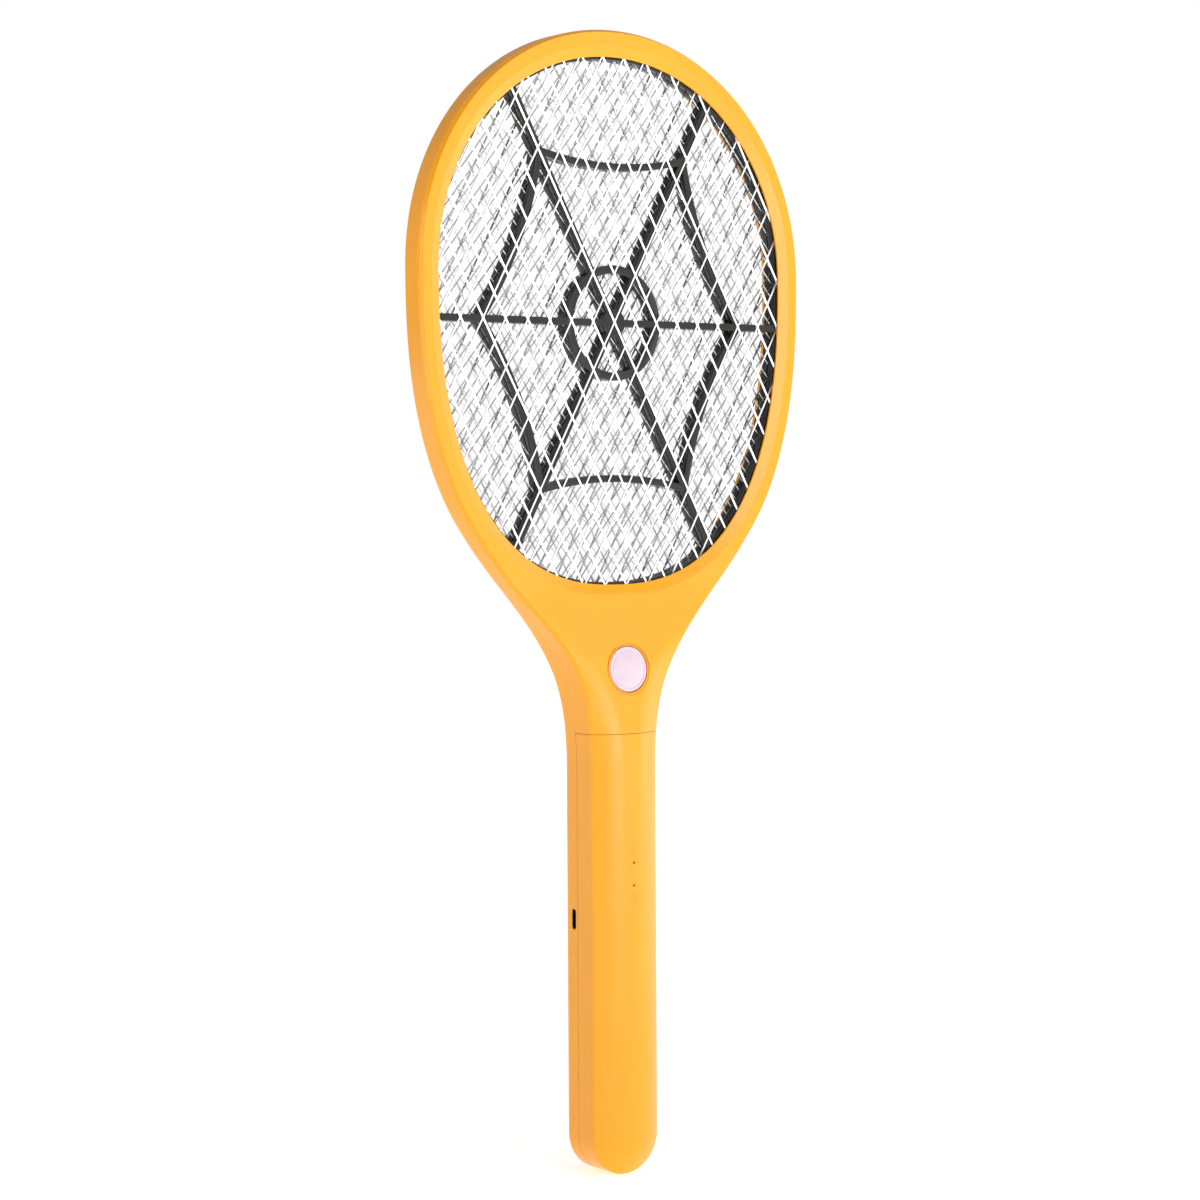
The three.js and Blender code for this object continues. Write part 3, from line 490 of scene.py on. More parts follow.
def make_finishes():
    colours = settings("colours")
    yellow, black, steel = tuple(colours.yellow), tuple(colours.black), tuple(colours.steel)
    tan, red_band, black_band = (0.55, 0.36, 0.2), (0.2, 0.02, 0.01), (0.02, 0.02, 0.02)
    blue, silver = (0.02, 0.13, 0.45), (0.6, 0.62, 0.64)
    plastics = (  # name, colour, roughness, grain in millimetres, gloss, mottle
        ("yellow_plastic", yellow, 0.25, 0.01, 0.5, 0.03),
        ("printed_mark", shade(yellow, 0.78), 0.5, 0.02, 0.5, 0.05),
        ("black_plastic", black, 0.26, 0.012, 0.4, 0.12),
        ("component_black", (0.012, 0.012, 0.013), 0.45, 0.02, 0.5, 0.2),
        ("ferrite", (0.035, 0.036, 0.04), 0.6, 0.04, 0.5, 0.25),
        ("capacitor_plastic", (0.27, 0.07, 0.015), 0.35, 0.02, 0.5, 0.1),
        ("disc_ceramic", (0.03, 0.11, 0.34), 0.4, 0.03, 0.5, 0.12),
        ("red_insulation", (0.42, 0.02, 0.015), 0.4, 0.01, 0.5, 0.1),
        ("black_insulation", (0.014, 0.014, 0.014), 0.42, 0.01, 0.5, 0.2),
        ("led_lens", (0.035, 0.012, 0.008), 0.3, 0.005, 0.2, 0.08),
    )
    metals = (  # name, colour, roughness, stretch of the rolling marks
        ("mesh_metal", steel, 0.3, (1.0, 1.0, 1.0)),
        # painted shade: a darker copy of the grid steel for the centre and rear grids, which lie in
        # shade behind the front grid
        ("fine_mesh_metal", shade(steel, 0.52), 0.26, (1.0, 1.0, 1.0)),
        ("socket_steel", (0.05, 0.05, 0.052), 0.3, (0.1, 1.0, 1.0)),
        ("screw_steel", (0.46, 0.47, 0.49), 0.28, (1.0, 0.2, 1.0)),
    )
    resistor = [(0.0, tan), (0.4, red_band), (0.5, tan), (0.8, black_band)]
    wrap = [(0.0, blue), (0.86, blue), (0.9, silver)]
    made = {}
    for name, base, roughness, grain, gloss, mottle in plastics:
        made[name] = moulded_plastic(name, base, roughness, grain * MM, gloss, mottle)
    for name, base, roughness, brushed in metals:
        made[name] = bright_metal(name, base, roughness, brushed)
    made["button_plastic"] = button_plastic()
    made["copper_wire"] = copper_winding()
    made["board_laminate"] = board_laminate()
    made["resistor_body"] = banded("resistor_body", resistor, 0.5, 170.0, "X")
    made["cell_wrap"] = banded("cell_wrap", wrap, 0.3, 4.0, "Z")
    return made


FINISHES = {}


def finish_named(name):
    if not FINISHES:
        FINISHES.update(make_finishes())
    return FINISHES[name]


# ---- mesh helpers ------------------------------------------------------------------


def smoothstep(value, low, high):
    share = np.clip((value - low) / (high - low), 0.0, 1.0)
    return share * share * (3.0 - 2.0 * share)


def blend(first, second, share):
    return first + (second - first) * share


def in_frame(points):
    """From [across, depth, height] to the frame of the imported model."""
    return np.asarray(points, float) + ORIGIN


def new_object(name, vertices, faces, finish=None):
    mesh = bpy.data.meshes.new(name)
    mesh.from_pydata([tuple(v) for v in vertices], [], [tuple(f) for f in faces])
    mesh.validate()
    piece = bpy.data.objects.new(name, mesh)
    bpy.context.scene.collection.objects.link(piece)
    if finish:
        mesh.materials.append(finish_named(finish))
    return piece


def clean(piece, merge=0.5e-6):
    """Merges doubles, drops slivers and turns the faces outwards."""
    mesh = bmesh.new()
    mesh.from_mesh(piece.data)
    bmesh.ops.remove_doubles(mesh, verts=mesh.verts, dist=merge)
    bmesh.ops.dissolve_degenerate(mesh, dist=merge, edges=mesh.edges)
    bmesh.ops.recalc_face_normals(mesh, faces=mesh.faces)
    mesh.to_mesh(piece.data)
    mesh.free()
    return piece


def smooth_by_angle(piece, degrees=35.0):
    mesh = piece.data
    mesh.polygons.foreach_set("use_smooth", [True] * len(mesh.polygons))
    mesh.set_sharp_from_angle(angle=math.radians(degrees))
    mesh.update()
    return piece


def one_finish(piece, finishes):
    """Keeps the given finishes only, with every face on the first."""
    mesh = piece.data
    mesh.materials.clear()
    for finish in finishes:
        mesh.materials.append(finish)
    mesh.polygons.foreach_set("material_index", [0] * len(mesh.polygons))
    return piece


def bake_modifiers(piece):
    """Turns the evaluated object into a plain mesh and removes its modifiers."""
    graph = bpy.context.evaluated_depsgraph_get()
    made = bpy.data.meshes.new_from_object(piece.evaluated_get(graph), depsgraph=graph)
    piece.modifiers.clear()
    old = piece.data
    piece.data = made
    made.name = piece.name
    bpy.data.meshes.remove(old)
    return one_finish(piece, [m for m in made.materials if m][:1])


def discard(*objects):
    for thing in objects:
        data = thing.data
        bpy.data.objects.remove(thing)
        if isinstance(data, bpy.types.Mesh) and data.users == 0:
            bpy.data.meshes.remove(data)


def cut(piece, cutters, operation="DIFFERENCE"):
    """Cuts, adds or intersects other objects and removes them. The piece keeps its finish."""
    for cutter in cutters:
        modifier = piece.modifiers.new("cut", "BOOLEAN")
        modifier.object = cutter
        modifier.operation = operation
        modifier.solver = "MANIFOLD"
    finishes = list(piece.data.materials)[:1]
    one_finish(bake_modifiers(piece), finishes)
    discard(*cutters)
    return piece


def extrusion(name, near, far, finish):
    """A closed solid between two rows of points that match one to one."""
    count = len(near)
    faces = [list(range(count)), list(range(2 * count - 1, count - 1, -1))]
    for i in range(count):
        j = (i + 1) % count
        faces.append([i, j, count + j, count + i])
    return clean(new_object(name, in_frame(near + far), faces, finish))


def prism(name, outline, front, back, finish=None):
    """A closed plate between two depths, from an outline of [across, height]."""
    ends = [[(x, depth, h) for x, h in outline] for depth in (front, back)]
    return extrusion(name, *ends, finish)


def side_bar(name, outline, place, from_x, to_x, finish=None):
    """A bar along X, from an outline of [depth, height] around a place on the side wall."""
    depth, height = place
    ends = [[(x, depth + d, height + h) for d, h in outline] for x in (from_x, to_x)]
    return extrusion(name, *ends, finish)


def lathe(name, profile, centre, segments, finish=None):
    """Turns a closed profile of [radius, depth] around an axis along Y."""
    x0, h0 = centre
    points = []
    for i in range(segments):
        turn = 2 * math.pi * i / segments
        for radius, depth in profile:
            points.append((x0 + radius * math.cos(turn), depth, h0 + radius * math.sin(turn)))
    rows = len(profile)
    faces = []
    for i in range(segments):
        j = (i + 1) % segments
        for k in range(rows - 1):
            faces.append([i * rows + k, j * rows + k, j * rows + k + 1, i * rows + k + 1])
    return clean(new_object(name, in_frame(points), faces, finish))


def finish_piece(piece, body, slot, *nodes):
    """The calls that every piece ends with."""
    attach(piece, body)
    if nodes:
        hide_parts(*nodes)


# ---- outlines ----------------------------------------------------------------------


def egg_centre():
    return CAD_BOX[1].z - BOTTOM - settings("outline").rim_up


def egg(kind, angles, grow=0.0):
    """Points of the rim's or the opening's outline, as [across, height]."""
    shape = settings("outline")
    half = getattr(shape, kind + "_half") + grow
    up = getattr(shape, kind + "_up") + grow
    down = getattr(shape, kind + "_down") + grow
    across, along = np.cos(angles), np.sin(angles)
    power = 2 / np.where(along >= 0, shape.top_roundness, shape.low_roundness)
    reach = np.where(along >= 0, up, down)
    x = np.sign(across) * half * np.abs(across) ** power
    h = egg_centre() + np.sign(along) * reach * np.abs(along) ** power
    return np.stack([x, h], -1)


def even(points, step):
    """Places along a dense polyline at nearly even steps, as fractions of its index."""
    gaps = np.linalg.norm(np.diff(points, axis=0), axis=1)
    run = np.concatenate([[0.0], np.cumsum(gaps)])
    count = max(2, int(round(run[-1] / step)) + 1)
    return np.interp(np.linspace(0.0, run[-1], count), run, np.linspace(0.0, 1.0, len(run)))


def egg_outline(kind, grow=0.0, step=1.0 * MM):
    angles = np.linspace(0.0, 2 * np.pi, 4001)
    chosen = even(egg(kind, angles, grow), step) * 2 * np.pi
    return egg(kind, chosen[:-1], grow)


def neck_curve(shares):
    """Right side of the neck, from the rim down into the straight handle."""
    shape = settings("outline")
    start = egg("rim", np.array([shape.neck_leaves_at]))[0]
    ahead = egg("rim", np.array([shape.neck_leaves_at - 0.001]))[0]
    heading = (ahead - start) / np.linalg.norm(ahead - start)
    end = np.array([shape.handle_half, shape.neck_bottom])
    pulls = [start, start + heading * shape.neck_pull_top, end + [0.0, shape.neck_pull_low], end]
    t = np.asarray(shares)[:, None]
    weights = [(1 - t) ** 3, 3 * t * (1 - t) ** 2, 3 * t * t * (1 - t), t ** 3]
    return sum(w * p for w, p in zip(weights, pulls))


def at_height(curve, shares, height):
    """Share at which a falling curve passes a height."""
    return float(np.interp(-height, -curve[:, 1], shares))


def columns(step):
    """Pairs of an outline point and the point it looks to, down the right-hand side.

    The first looks to the edge of the opening, then to the middle line of neck and
    handle, and round the handle's end to the centre of its half circle.
    """
    shape = settings("outline")
    seam = settings("depths").seam_height
    angles = np.linspace(np.pi / 2, shape.neck_leaves_at, 3001)
    chosen = np.interp(even(egg("rim", angles), step), np.linspace(0, 1, len(angles)), angles)
    ring = (egg("rim", chosen), egg("opening", chosen))

    shares = np.linspace(0.0, 1.0, 801)
    curve = neck_curve(shares)
    turn = at_height(curve, shares, SHOULDER_END)
    count = int(round(SHOULDER_RUN / step))
    around = np.linspace(shape.neck_leaves_at, -np.pi / 2, count + 1)[1:]
    shoulder = (neck_curve(np.linspace(0.0, turn, count + 1)[1:]), egg("opening", around))

    low_turn = at_height(curve, shares, seam)
    crotch = shoulder[1][-1][1]
    count = int(round((crotch - seam) / step))
    spine = np.linspace(crotch, seam, count + 1)[1:]
    neck = (
        neck_curve(np.linspace(turn, low_turn, count + 1)[1:]),
        np.stack([np.zeros(count), spine], -1),
    )

    count = int(round((seam - shape.handle_half) / step))
    heights = np.linspace(seam, shape.handle_half, count + 1)[1:]
    widths = np.interp(-heights, -curve[:, 1], curve[:, 0])
    widths[heights <= shape.neck_bottom] = shape.handle_half
    handle = (np.stack([widths, heights], -1), np.stack([0 * heights, heights], -1))

    count = 25
    turns = np.linspace(0.0, np.pi / 2, count + 1)[1:]
    r = shape.handle_half
    end = (
        np.stack([r * np.cos(turns), r - r * np.sin(turns)], -1),
        np.stack([0 * turns, 0 * turns + r], -1),
    )
    for line, index in ((end[0], -1), (ring[0], 0), (ring[1], 0), (shoulder[1], -1)):
        line[index, 0] = 0.0
    return {"ring": ring, "shoulder": shoulder, "neck": neck, "handle": handle, "end": end}


def whole_outline():
    parts = columns(1.0 * MM)
    right = np.concatenate([parts[k][0] for k in RIGHT_SIDE])
    left = right[::-1].copy()
    left[:, 0] *= -1
    return np.concatenate([right, left[1:]])


def distance_to(line, points):
    """Shortest distance from each point to a closed polyline."""
    batch = 2000
    tiny = 1e-18
    along = np.roll(line, -1, axis=0) - line
    size = (along ** 2).sum(1) + tiny
    flat = points.reshape(-1, 2)
    found = np.empty(len(flat))
    for i in range(0, len(flat), batch):
        gap = flat[i:i + batch, None, :] - line[None]
        share = np.clip((gap * along[None]).sum(-1) / size, 0.0, 1.0)
        rest = gap - share[..., None] * along[None]
        found[i:i + batch] = np.sqrt((rest ** 2).sum(-1)).min(1)
    return found.reshape(points.shape[:-1])


# ---- mouldings ---------------------------------------------------------------------


def handle_share(heights):
    return 1 - smoothstep(heights, *EDGE_BLEND)


def edge_depth(heights):
    depths = settings("depths")
    return blend(depths.head_edge, depths.handle_edge, handle_share(heights))


def back_depth(heights):
    depths = settings("depths")
    return blend(depths.head_back, depths.handle_back, handle_share(heights))


def parting_depth(heights):
    depths = settings("depths")
    return blend(depths.handle_parting, depths.head_parting, smoothstep(heights, *PARTING_BLEND))


def half_gap(heights):
    depths = settings("depths")
    share = smoothstep(heights, depths.seam_height, depths.seam_height + 4 * MM)
    return blend(depths.seam_gap, depths.head_gap, share) / 2


def edge_drop(radius, distance):
    """How far a rounded edge falls back at a distance from it."""
    inward = np.clip(radius - distance, 0.0, None)
    return radius - np.sqrt(np.clip(radius ** 2 - inward ** 2, 0.0, None))


class Skin:
    """Depth of the front and back faces at any place, from distances to the outlines."""

    def __init__(self):
        self.rim = whole_outline()
        self.opening = egg_outline("opening")

    def crown(self, points, from_rim):
        depths = settings("depths")
        reach = settings("outline").handle_half
        share = 1 - smoothstep(points[..., 1], *CROWN_BLEND)
        round_share = 1 - (1 - np.minimum(from_rim, reach) / reach) ** 2
        return share * depths.handle_rise * round_share, share

    def front(self, points):
        depths = settings("depths")
        from_rim = distance_to(self.rim, points)
        from_opening = distance_to(self.opening, points)
        crown, share = self.crown(points, from_rim)
        step = smoothstep(from_rim, *STEP_BLEND)
        bevel = depths.bevel * np.clip(1 - from_opening / depths.bevel_width, 0.0, 1.0)
        fillet = edge_drop(depths.fillet, from_rim)
        rise = crown + (1 - share) * depths.head_rise * step
        return edge_depth(points[..., 1]) - rise + bevel + fillet

    def front_inside(self, points):
        depths = settings("depths")
        from_rim = distance_to(self.rim, points)
        crown, _ = self.crown(points, from_rim)
        under = edge_depth(points[..., 1]) - crown + depths.wall
        return blend(depths.lip_back, under, handle_share(points[..., 1]))

    def back(self, points):
        depths = settings("depths")
        from_rim = distance_to(self.rim, points)
        from_opening = distance_to(self.opening, points)
        outer = edge_drop(depths.back_rounding, from_rim)
        inner = edge_drop(OPENING_RADIUS, from_opening)
        return back_depth(points[..., 1]) - outer - inner

    def back_inside(self, points):
        depths = settings("depths")
        under = back_depth(points[..., 1]) - depths.wall
        return blend(depths.rear_lip, under, handle_share(points[..., 1]))


def rounded_rows(radius, count):
    turns = np.linspace(0.0, np.pi / 2, count + 1)
    return list(radius * (1 - np.cos(turns)))


def outer_rows(near, far, middle):
    """Places from an outline point to its target: [fixed distance, share, distance left]."""
    rows = [(d, 0.0, None) for d in near]
    rows += [(None, (i + 1) / (middle + 1), None) for i in range(middle)]
    rows += [(None, None, e) for e in far]
    return rows


def lay_rows(outline, target, rows, near_end, far_end):
    gap = target - outline
    size = np.linalg.norm(gap, axis=1)
    size_safe = np.maximum(size, 1e-9)
    laid = []
    for near, share, left in rows:
        if near is not None:
            place = near
        elif share is not None:
            place = near_end + (size - near_end - far_end) * share
        else:
            place = size - left
        laid.append(outline + gap * (place / size_safe)[:, None])
    return np.stack(laid, 1)


def moulding(name, parts, skin, front=True):
    """A closed shell: outer face, lips around the opening, inner face, mirrored halves."""
    depths = settings("depths")
    pairs = columns(COLUMN_STEP)
    outline = np.concatenate([pairs[k][0] for k in parts])
    target = np.concatenate([pairs[k][1] for k in parts])
    opens = np.concatenate([[k in ("ring", "shoulder")] * len(pairs[k][0]) for k in parts])
    if name == "handle_front":
        seam = depths.seam_height
        top = np.array([[np.interp(-seam, -outline[:, 1], outline[:, 0]), seam]])
        outline = np.concatenate([top, outline])
        target = np.concatenate([top * [0, 1], target])
        opens = np.concatenate([[False], opens])
    gap = depths.seam_gap / 2
    if parts[-1] == "neck":
        outline[-1, 1] += gap
        target[-1, 1] += gap
    if name == "handle_front":
        outline[0, 1] -= gap
        target[0, 1] -= gap

    far_end = depths.bevel_width + 0.3 * MM
    near = rounded_rows(depths.fillet, 6) if front else rounded_rows(depths.back_rounding, 9)
    if front:
        near += [d * MM for d in STEP_ROWS]
    near += [LAST_STEP_ROW]
    far = [e * MM for e in BEVEL_ROWS]
    middle_rows = 9
    rows = outer_rows(near, far, middle_rows)
    grid = lay_rows(outline, target, rows, LAST_STEP_ROW, far_end)
    depth = skin.front(grid) if front else skin.back(grid)
    face = np.concatenate([grid[..., :1], depth[..., None], grid[..., 1:]], -1)

    parting = parting_depth(outline[:, 1]) + half_gap(outline[:, 1]) * (-1 if front else 1)
    wall_rows = 6
    shares = np.linspace(0.0, 1.0, wall_rows + 1)[:-1]
    walls = [blend(parting, depth[:, 0], share) for share in shares]
    side = np.stack([np.stack([outline[:, 0], wall, outline[:, 1]], -1) for wall in walls], 1)

    inner_rows = 10
    size = np.maximum(np.linalg.norm(target - outline, axis=1), 1e-9)
    inset = outline + (target - outline) * (depths.wall / size)[:, None]
    spread = np.stack([blend(target, inset, i / inner_rows) for i in range(inner_rows + 1)], 1)
    depth_in = skin.front_inside(spread) if front else skin.back_inside(spread)
    inside = np.concatenate([spread[..., :1], depth_in[..., None], spread[..., 1:]], -1)
    inner_side = np.stack([inset[:, 0], parting, inset[:, 1]], -1)[:, None]

    loop = np.concatenate([side, face, inside, inner_side], 1)
    rows = loop.shape[1]
    mouth = side.shape[1] + face.shape[1] - 1
    faces = []
    for i in range(len(outline) - 1):
        for j in range(rows):
            if j == mouth and not (opens[i] and opens[i + 1]):
                continue
            k = (j + 1) % rows
            faces.append([i * rows + j, i * rows + k, (i + 1) * rows + k, (i + 1) * rows + j])
    if parts[-1] == "neck":
        faces.append([(len(outline) - 1) * rows + j for j in range(rows)])
    if name == "handle_front":
        faces.append(list(range(rows)))

    right = loop.reshape(-1, 3)
    left = right * [-1, 1, 1]
    count = len(right)
    faces += [[count + v for v in reversed(f)] for f in faces]
    piece = new_object(name, in_frame(np.concatenate([right, left])), faces, "yellow_plastic")
    return clean(piece)


def cylinder(radius, centre, front, back, segments=96):
    turns = [2 * math.pi * i / segments for i in range(segments)]
    outline = [(centre[0] + radius * math.cos(t), centre[1] + radius * math.sin(t)) for t in turns]
    return prism("cutter", outline, front, back)


def button_seat(skin):
    """Depth and slope of the neck's surface under the button."""
    button = settings("button")
    heights = button.height + np.array([-1, 0, 1]) * button.radius
    found = skin.front(np.stack([0 * heights, heights], -1))
    return float(found[1]), float((found[2] - found[0]) / (2 * button.radius))


def lean(piece, slope, before):
    """Slants everything in front of a depth so that it follows the neck's slope."""
    middle = BOTTOM + settings("button").height
    for vertex in piece.data.vertices:
        if vertex.co.y < FACE + before:
            vertex.co.y += slope * (vertex.co.z - middle)
    return piece


def button_cutters(skin):
    button = settings("button")
    centre = (0.0, button.height)
    surface, slope = button_seat(skin)
    floor = surface + button.groove_depth
    inside = 2 * MM
    segments = 128
    groove = cylinder(button.groove, centre, AHEAD, floor, segments)
    inner = cylinder(button.groove - button.groove_width, centre, AHEAD - 10 * MM, 0.0, segments)
    cut(groove, [inner])
    pocket = (button.flange + 0.5 * MM, centre, button.flange_front - 0.3 * MM, inside)
    return [
        cylinder(button.radius + button.gap, centre, AHEAD, inside, segments),
        lean(groove, slope, 0.0),
        cylinder(*pocket, segments),
    ]


def slot_outline(length_, width, turns=24):
    """A box with half-round ends, standing along its length."""
    straight = (length_ - width) / 2
    angles = [math.pi * i / turns for i in range(turns + 1)]
    upper = [(width / 2 * math.cos(a), straight + width / 2 * math.sin(a)) for a in angles]
    lower = [(-x, -y) for x, y in upper]
    return upper + lower


def screw_places():
    """Centre of each screw head's seat as [across, depth, height], with its size."""
    depths = settings("depths")
    places = []
    for i in range(RING_SCREWS):
        turn = np.array([2 * np.pi * (i + 0.5) / RING_SCREWS])
        x, h = blend(egg("rim", turn), egg("opening", turn), RING_SHARE)[0]
        places.append((x, depths.head_back - RING_SINK, h, RING_SCREW))
    for x, h in LONG_SCREWS:
        floor = float(back_depth(np.array([h * MM]))[0]) - LONG_SINK
        places.append((x * MM, floor, h * MM, LONG_SCREW))
    return places


def recess_cutters():
    cutters = []
    for x, floor, h, size in screw_places():
        bore = size + (0.25 if size == RING_SCREW else 0.4) * MM
        cutters.append(cylinder(bore, (x, h), floor, BEHIND, 48))
    return cutters


# ---- grids -------------------------------------------------------------------------


def node_group(name, inputs, output):
    """A Geometry Nodes group: its board, and its inputs as wires by name."""
    tree = bpy.data.node_groups.new(name, "GeometryNodeTree")
    for label, kind in inputs:
        tree.interface.new_socket(label, in_out="INPUT", socket_type="NodeSocket" + kind)
    tree.interface.new_socket(output, in_out="OUTPUT", socket_type="NodeSocketGeometry")
    board = Board(tree)
    entry = tree.nodes.new("NodeGroupInput")
    return board, {s.name: Wire(board, s) for s in entry.outputs if s.name}


def painted_output(board, output, geometry, metal):
    """Ends a group: real geometry with one material."""
    plain = board.add("GeometryNodeRealizeInstances", {}, {"Geometry": geometry})
    painted = board.add("GeometryNodeSetMaterial", {}, {"Geometry": plain, "Material": metal})
    board.add("NodeGroupOutput", {}, {output: painted})
    return board.tree


def lattice_tree():
    """Geometry nodes: two families of parallel strands and their knuckles, cut to a plate."""
    sizes = ("Cell Width", "Cell Height", "Strand", "Sheet", "Tilt", "Knuckle Width",
             "Knuckle Height", "Half Width", "Half Height")
    inputs = [("Plate", "Geometry"), *((size, "Float") for size in sizes),
              ("Centre", "Vector"), ("Metal", "Material")]
    board, given = node_group("diamond_lattice", inputs, "Grid")
    width, height = given["Cell Width"], given["Cell Height"]
    half_width, half_height = given["Half Width"], given["Half Height"]
    past_corners = 2.6
    knuckle_swell = 1.16

    def vector(x, y, z):
        return board.add("ShaderNodeCombineXYZ", {}, {"X": x, "Y": y, "Z": z})

    def moved(geometry, **how):
        return board.add("GeometryNodeTransform", {}, {"Geometry": geometry, **how})

    def on_points(points, shape, **how):
        inputs = {"Points": points, "Instance": shape, **how}
        return board.add("GeometryNodeInstanceOnPoints", {}, inputs)

    def whole(value):
        return board.add("ShaderNodeMath", {"operation": "CEIL"}, {0: value})

    size = vector(given["Strand"], given["Sheet"], (half_width + half_height) * past_corners)
    strand = board.add("GeometryNodeMeshCube", {}, {"Size": size})
    lean_angle = board.add("ShaderNodeMath", {"operation": "ARCTAN2"}, {0: width, 1: height})
    reach_across = whole((half_width + half_height * width / height) / width)
    sets = []
    for side in (1.0, -1.0):
        tilted = moved(strand, Rotation=vector(0.0, 0.0, given["Tilt"] * side))
        line = board.add("GeometryNodeMeshLine", {}, {
            "Count": reach_across * 2.0 + 1.0,
            "Start Location": vector(reach_across * width * -1.0, 0.0, 0.0),
            "Offset": vector(width, 0.0, 0.0),
        })
        sets.append(on_points(line, tilted, Rotation=vector(0.0, lean_angle * side, 0.0)))

    knuckle = board.add(
        "GeometryNodeMeshCylinder", {"fill_type": "NGON"},
        {"Vertices": 8, "Side Segments": 1, "Fill Segments": 1, "Radius": 0.5, "Depth": 1.0},
    )
    knuckle = moved(knuckle, Rotation=(math.pi / 2, 0.0, math.pi / 8))
    thick = given["Sheet"] * knuckle_swell
    knuckle = moved(knuckle, Scale=vector(given["Knuckle Width"], thick, given["Knuckle Height"]))
    across = whole(half_width / width)
    up = whole(half_height / height)
    rows = []
    for shift in (0.0, 0.5):
        grid = board.add("GeometryNodeMeshGrid", {}, {
            "Size X": across * width * 2.0, "Size Y": up * height * 2.0,
            "Vertices X": across * 2.0 + 1.0, "Vertices Y": up * 2.0 + 1.0,
        })
        place = vector(width * shift, 0.0, height * shift)
        rows.append(moved(grid, Rotation=(math.pi / 2, 0.0, 0.0), Translation=place))
    points = board.add("GeometryNodeJoinGeometry", {}, {"Geometry": rows})
    sets.append(on_points(points, knuckle))

    trimmed = []
    for laid in sets:
        solid = board.add("GeometryNodeRealizeInstances", {}, {"Geometry": laid})
        placed = moved(solid, Translation=given["Centre"])
        trimmed.append(board.add(
            "GeometryNodeMeshBoolean", {"operation": "INTERSECT", "solver": "MANIFOLD"},
            {"Mesh 2": [placed, given["Plate"]]},
        ))
    joined = board.add("GeometryNodeJoinGeometry", {}, {"Geometry": trimmed})
    return painted_output(board, "Grid", joined, given["Metal"])


def with_nodes(piece, tree, values):
    """Runs a tree on a piece, its inputs set by identifier, and keeps the plain result."""
    modifier = piece.modifiers.new("nodes", "NODES")
    modifier.node_group = tree
    sockets = [item for item in tree.interface.items_tree if item.item_type == "SOCKET"]
    names = {item.name: item.identifier for item in sockets}
    for name, value in values.items():
        modifier[names[name]] = value
    return bake_modifiers(piece)


def metal_grid(name, tree, middle, cell, strand, tilt, knuckle):
    sheet = settings("grid").thickness
    shape = settings("outline")
    behind_rim = 3.0 * MM
    half_plate = 1.5 * MM
    margin = 4 * MM
    outline = egg_outline("opening", behind_rim)
    plate = prism(name, outline, middle - half_plate, middle + half_plate)
    centre = in_frame([0.0, middle, egg_centre() + (shape.opening_up - shape.opening_down) / 2])
    return with_nodes(plate, tree, {
        "Cell Width": cell[0], "Cell Height": cell[1], "Strand": strand, "Sheet": sheet,
        "Tilt": tilt, "Knuckle Width": knuckle[0], "Knuckle Height": knuckle[1],
        "Half Width": shape.opening_half + margin, "Half Height": shape.opening_down + margin,
        "Centre": tuple(centre), "Metal": finish_named("mesh_metal"),
    })


# ---- webs --------------------------------------------------------------------------


def strip_outline(points, width):
    points = np.asarray(points, float)
    along = np.gradient(points, axis=0)
    along /= np.linalg.norm(along, axis=1)[:, None]
    across = np.stack([-along[:, 1], along[:, 0]], -1) * width / 2
    return np.concatenate([points + across, (points - across)[::-1]])


def web_nodes():
    web = settings("web")
    x, z, side = web.corner_x, web.corner_z, web.side_node
    return [np.array(p) for p in ((side, 0), (x, z), (-x, z), (-side, 0), (-x, -z), (x, -z))]


def bowed_arc(start, end, sag, count=16):
    middle = (start + end) / 2
    control = middle - middle / np.linalg.norm(middle) * 2 * sag
    t = np.linspace(0.0, 1.0, count + 1)[:, None]
    return (1 - t) ** 2 * start + 2 * t * (1 - t) * control + t * t * end


def circle_points(radius, count):
    turns = np.linspace(0.0, 2 * np.pi, count + 1)[:-1]
    return radius * np.stack([np.cos(turns), np.sin(turns)], -1)


def web_spacer(name, front, depth):
    """Rim, six spokes, six bowed arcs, hub ring and boss, joined into one piece."""
    web = settings("web")
    back = front + depth
    middle = np.array([0.0, web.centre])
    step = 1.6 * MM
    past_arcs = 1.9
    rim = prism(name, egg_outline("opening", web.grip, step), front, back, "black_plastic")
    bore = egg_outline("opening", -web.shows, step)
    cut(rim, [prism("cutter", bore, front - 2 * MM, back + 2 * MM)])
    nodes = web_nodes()
    ribs = []
    for i, node in enumerate(nodes):
        spoke = [node * 0.0, node * past_arcs]
        ribs.append(prism("rib", strip_outline(spoke, web.rib) + middle, front, back))
        arc = bowed_arc(node, nodes[(i + 1) % 6], web.arc_sag)
        ribs.append(prism("arc", strip_outline(arc, web.rib) + middle, front, back))
    hub = prism("hub", circle_points(web.hub_radius, 96) + middle, front, back)
    bore = circle_points(web.hub_radius - web.hub_band, 96) + middle
    cut(hub, [prism("cutter", bore, front - MM, back + MM)])
    boss = prism("boss", circle_points(web.boss_radius, 48) + middle, front, back)
    limit = prism("limit", egg_outline("opening", 1 * MM, step), front - MM, back + MM)
    spread = cut(hub, ribs + [boss], "UNION")
    cut(spread, [limit], "INTERSECT")
    cut(rim, [spread], "UNION")
    bevel = rim.modifiers.new("bevel", "BEVEL")
    bevel.width = 0.22 * MM
    bevel.segments = 2
    bevel.limit_method = "ANGLE"
    bevel.angle_limit = math.radians(50)
    return smooth_by_angle(bake_modifiers(rim), 40)


# ---- screws ------------------------------------------------------------------------


